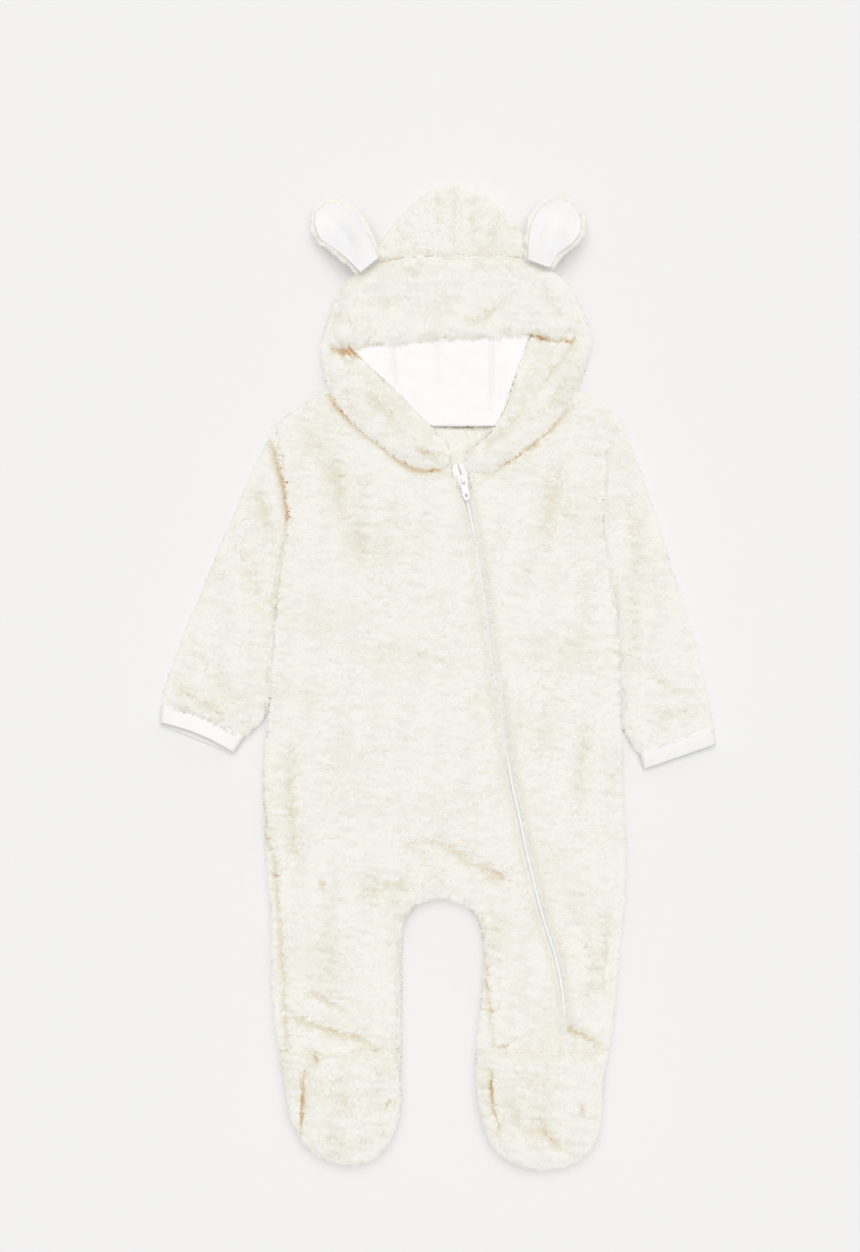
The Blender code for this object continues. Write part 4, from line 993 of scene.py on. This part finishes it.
def slider_mesh():
    """The slider: a plate with a rim, narrower at its ends, and the arch that holds the tab."""
    bm = bmesh.new()
    bmesh.ops.create_cube(bm, size=1)
    bmesh.ops.scale(bm, vec=PLATE, verts=bm.verts[:])
    cuts = [e for e in bm.edges if abs(e.verts[0].co.z - e.verts[1].co.z) < 0.1]
    bmesh.ops.subdivide_edges(bm, edges=cuts, cuts=3, use_grid_fill=True)
    for vert in bm.verts:
        down = vert.co.y / (PLATE[1] / 2)
        vert.co.x *= 1 - 0.22 * max(down, 0) ** 2 - 0.10 * max(-down, 0) ** 3
        if abs(vert.co.z) > 1 and abs(vert.co.x) < 3 and abs(vert.co.y) < 4:
            vert.co.z *= 0.86
    corners = [e for e in bm.edges if e.calc_face_angle(0) > 0.9]
    bmesh.ops.bevel(bm, geom=corners, offset=0.45, affect="EDGES", segments=3, profile=0.5, material=-1)
    bmesh.ops.translate(bm, vec=(0, 0, -2.6), verts=bm.verts[:])
    strap = bmesh.ops.create_grid(bm, x_segments=2, y_segments=1, size=0.5)["verts"]
    for vert in strap:
        vert.co = (vert.co.x * ARCH[0], vert.co.y * ARCH[1] - ARCH_RADIUS, 0)
    faces = list(dict.fromkeys(f for v in strap for f in v.link_faces))
    edges = list(dict.fromkeys(e for v in strap for e in v.link_edges))
    half_turn = {"cent": (0, 0, 0), "axis": (1, 0, 0), "angle": -np.pi}
    spun = bmesh.ops.spin(bm, geom=strap + faces + edges, steps=12, use_merge=False, **half_turn)
    for end in (faces, only(bmesh.types.BMFace, spun["geom_last"])):
        grown = bmesh.ops.extrude_face_region(bm, geom=end)["geom"]
        bmesh.ops.translate(bm, vec=(0, 0, -ARCH_LEG), verts=only(bmesh.types.BMVert, grown))
        bmesh.ops.delete(bm, geom=end, context="FACES_ONLY")
    bmesh.ops.remove_doubles(bm, verts=bm.verts[:], dist=0.01)
    bmesh.ops.recalc_face_normals(bm, faces=bm.faces[:])
    return set_on_zip(bm, "slider")


def tab_mesh():
    """The pull tab: a flat tongue with soft edges, an eye for the arch and a hole at its end."""
    bm = bmesh.new()
    for loop, (segments, half, middle, long) in TAB_LOOPS.items():
        for vert in bmesh.ops.create_circle(bm, segments=segments, radius=1)["verts"]:
            x, y = vert.co.x, vert.co.y
            size = (abs(x) ** TAB_SQUARE + abs(y) ** TAB_SQUARE) ** (-1 / TAB_SQUARE)
            taper = 1 - TAB_TAPER * max(-y, 0) if loop == "edge" else 1
            vert.co = (x * size * half * taper, middle + y * size * long, -TAB_THICK / 2)
    bmesh.ops.triangle_fill(bm, use_beauty=True, use_dissolve=False, edges=bm.edges[:])
    grown = bmesh.ops.extrude_face_region(bm, geom=bm.faces[:])["geom"]
    bmesh.ops.translate(bm, vec=(0, 0, TAB_THICK), verts=only(bmesh.types.BMVert, grown))
    bmesh.ops.recalc_face_normals(bm, faces=bm.faces[:])
    sharp = [e for e in bm.edges if len(e.link_faces) == 2 and e.calc_face_angle(0) > 1.0]
    bmesh.ops.bevel(bm, geom=sharp, offset=TAB_SOFT, affect="EDGES", segments=2, profile=0.5, material=-1)
    return set_on_zip(bm, "tab")


def set_on_zip(bm, name):
    for vert in bm.verts:
        vert.co = on_zip(*vert.co)
    bmesh.ops.recalc_face_normals(bm, faces=bm.faces[:])
    mesh = mesh_from(bm, name)
    mesh.shade_smooth()
    mesh.set_sharp_from_angle(angle=0.8)
    return mesh


# ---------------- the scene


def laid(node, mesh, materials):
    """A node's cloth, in its place, shown instead of the node's solid."""
    cloth = shown(node + "_cloth", mesh, materials)
    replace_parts(cloth, node)


def opened(node, mesh, middles, free):
    """The sleeve's tube opened where it is sewn, at the armhole and inside the cuff."""
    cuff = CUFFS[node.replace("sleeve", "cuff")]
    away, _ = from_line(middles[:, :2], smooth(cuff.seam, 4))
    ends = (free < 2.2) & ((away < 3) | (middles[:, 1] > ARMHOLE))
    bm = bmesh.new()
    bm.from_mesh(mesh)
    bm.faces.ensure_lookup_table()
    bmesh.ops.delete(bm, geom=[bm.faces[k] for k in np.nonzero(ends)[0]], context="FACES")
    bm.to_mesh(mesh)
    bm.free()


def dress_plush():
    """Each plush piece's cloth and pile. The pile grows only where nothing lies close over the cloth."""
    solids = {name: obj.data for name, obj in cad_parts.items()}
    forms = {}
    for piece in PLUSH:
        others = [mesh for name, mesh in solids.items() if name != piece.node]
        forms[piece.node] = plush_form(piece, tree_of(others))
    tree = tree_of(list(forms.values()) + [mesh for name, mesh in solids.items() if name not in forms])
    for piece in PLUSH:
        mesh = forms[piece.node]
        middles = read(mesh.polygons, "center", 3).astype(float) / MM
        ways = read(mesh.polygons, "normal", 3).astype(float)
        free = room(tree, middles, ways, 12)
        name = piece.node + "_pile"
        pile = shown(name, pile_mesh(name, piece, mesh, free), PILE)
        pile.visible_shadow = pile.visible_diffuse = False  # light scatters on through a real pile
        if piece.node.startswith("sleeve"):
            opened(piece.node, mesh, middles, free)
        laid(piece.node, mesh, [CLOTH])


def dress_knits():
    for node, pitch in (("hood_lining", 1.6), ("ear_inner_right", 1.2), ("ear_inner_left", 1.2)):
        laid(node, knit_form(node, pitch), [JERSEY])
    for node, cuff in CUFFS.items():
        seam, end = smooth(cuff.seam, 12), smooth(cuff.end, 12)
        row = (seam + (end - seam) * 0.16)[3:-3]
        stitches = stitch_row(node + "_stitches", row, STITCH_ON_CUFF)
        stitches = shown(node + "_stitches", stitches, [THREAD])
        laid(node, cuff_form(node, cuff), [JERSEY])
    for node in ("zip_tape_right", "zip_tape_left"):
        laid(node, knit_form(node, 3.0), [TAPE])


def dress_zip():
    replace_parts(shown("zip_coil", zip_coil(), [TEETH]), "zip_chain")
    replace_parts(shown("slider", slider_mesh(), [SLIDER]), "zip_slider")
    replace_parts(shown("tab", tab_mesh(), [SLIDER], body="pull_tab"), "pull_tab")


def floor_and_light():
    """White paper, even light from all round, and one large soft lamp a little from above the head."""
    bm = bmesh.new()
    bmesh.ops.create_grid(bm, x_segments=1, y_segments=1, size=6)
    mesh = mesh_from(bm, "floor")
    mesh.materials.append(Finish("floor_paper", (0.848, 0.849, 0.857), 0.9).material)
    floor = bpy.data.objects.new("floor", mesh)
    floor.location = (0, 0, -0.3 * MM)
    bpy.context.scene.collection.objects.link(floor)

    world = bpy.data.worlds.new("studio")
    world.use_nodes = True
    sky = world.node_tree.nodes["Background"]
    sky.inputs["Color"].default_value = (1.0, 0.995, 0.985, 1)
    sky.inputs["Strength"].default_value = 0.484
    bpy.context.scene.world = world

    light = bpy.data.lights.new("key", "SUN")
    light.angle = 1.1
    light.energy = 1.84
    light.color = (1.0, 0.99, 0.97)
    lamp = bpy.data.objects.new("key", light)
    lamp.location = (0.05, 0.48, 1.9)
    lamp.rotation_euler = (-lamp.location).to_track_quat("-Z", "Y").to_euler()
    bpy.context.scene.collection.objects.link(lamp)


def camera():
    """Straight above, as in the photograph, whose height is given on the plane halfway up the suit."""
    seen, distance, halfway = 1026.6, 3200.0, 10.0
    made = bpy.data.cameras.new("camera")
    made.sensor_fit = "VERTICAL"
    made.sensor_height = 36
    made.lens = made.sensor_height * distance / seen
    made.clip_end = 100
    obj = bpy.data.objects.new("camera", made)
    obj.location = (-6.8 * MM, 41.6 * MM, (distance + halfway) * MM)
    bpy.context.scene.collection.objects.link(obj)
    bpy.context.scene.camera = obj


dress_plush()
dress_knits()
dress_zip()
floor_and_light()
camera()
view = bpy.context.scene.view_settings
view.view_transform = "Standard"
view.look = "None"
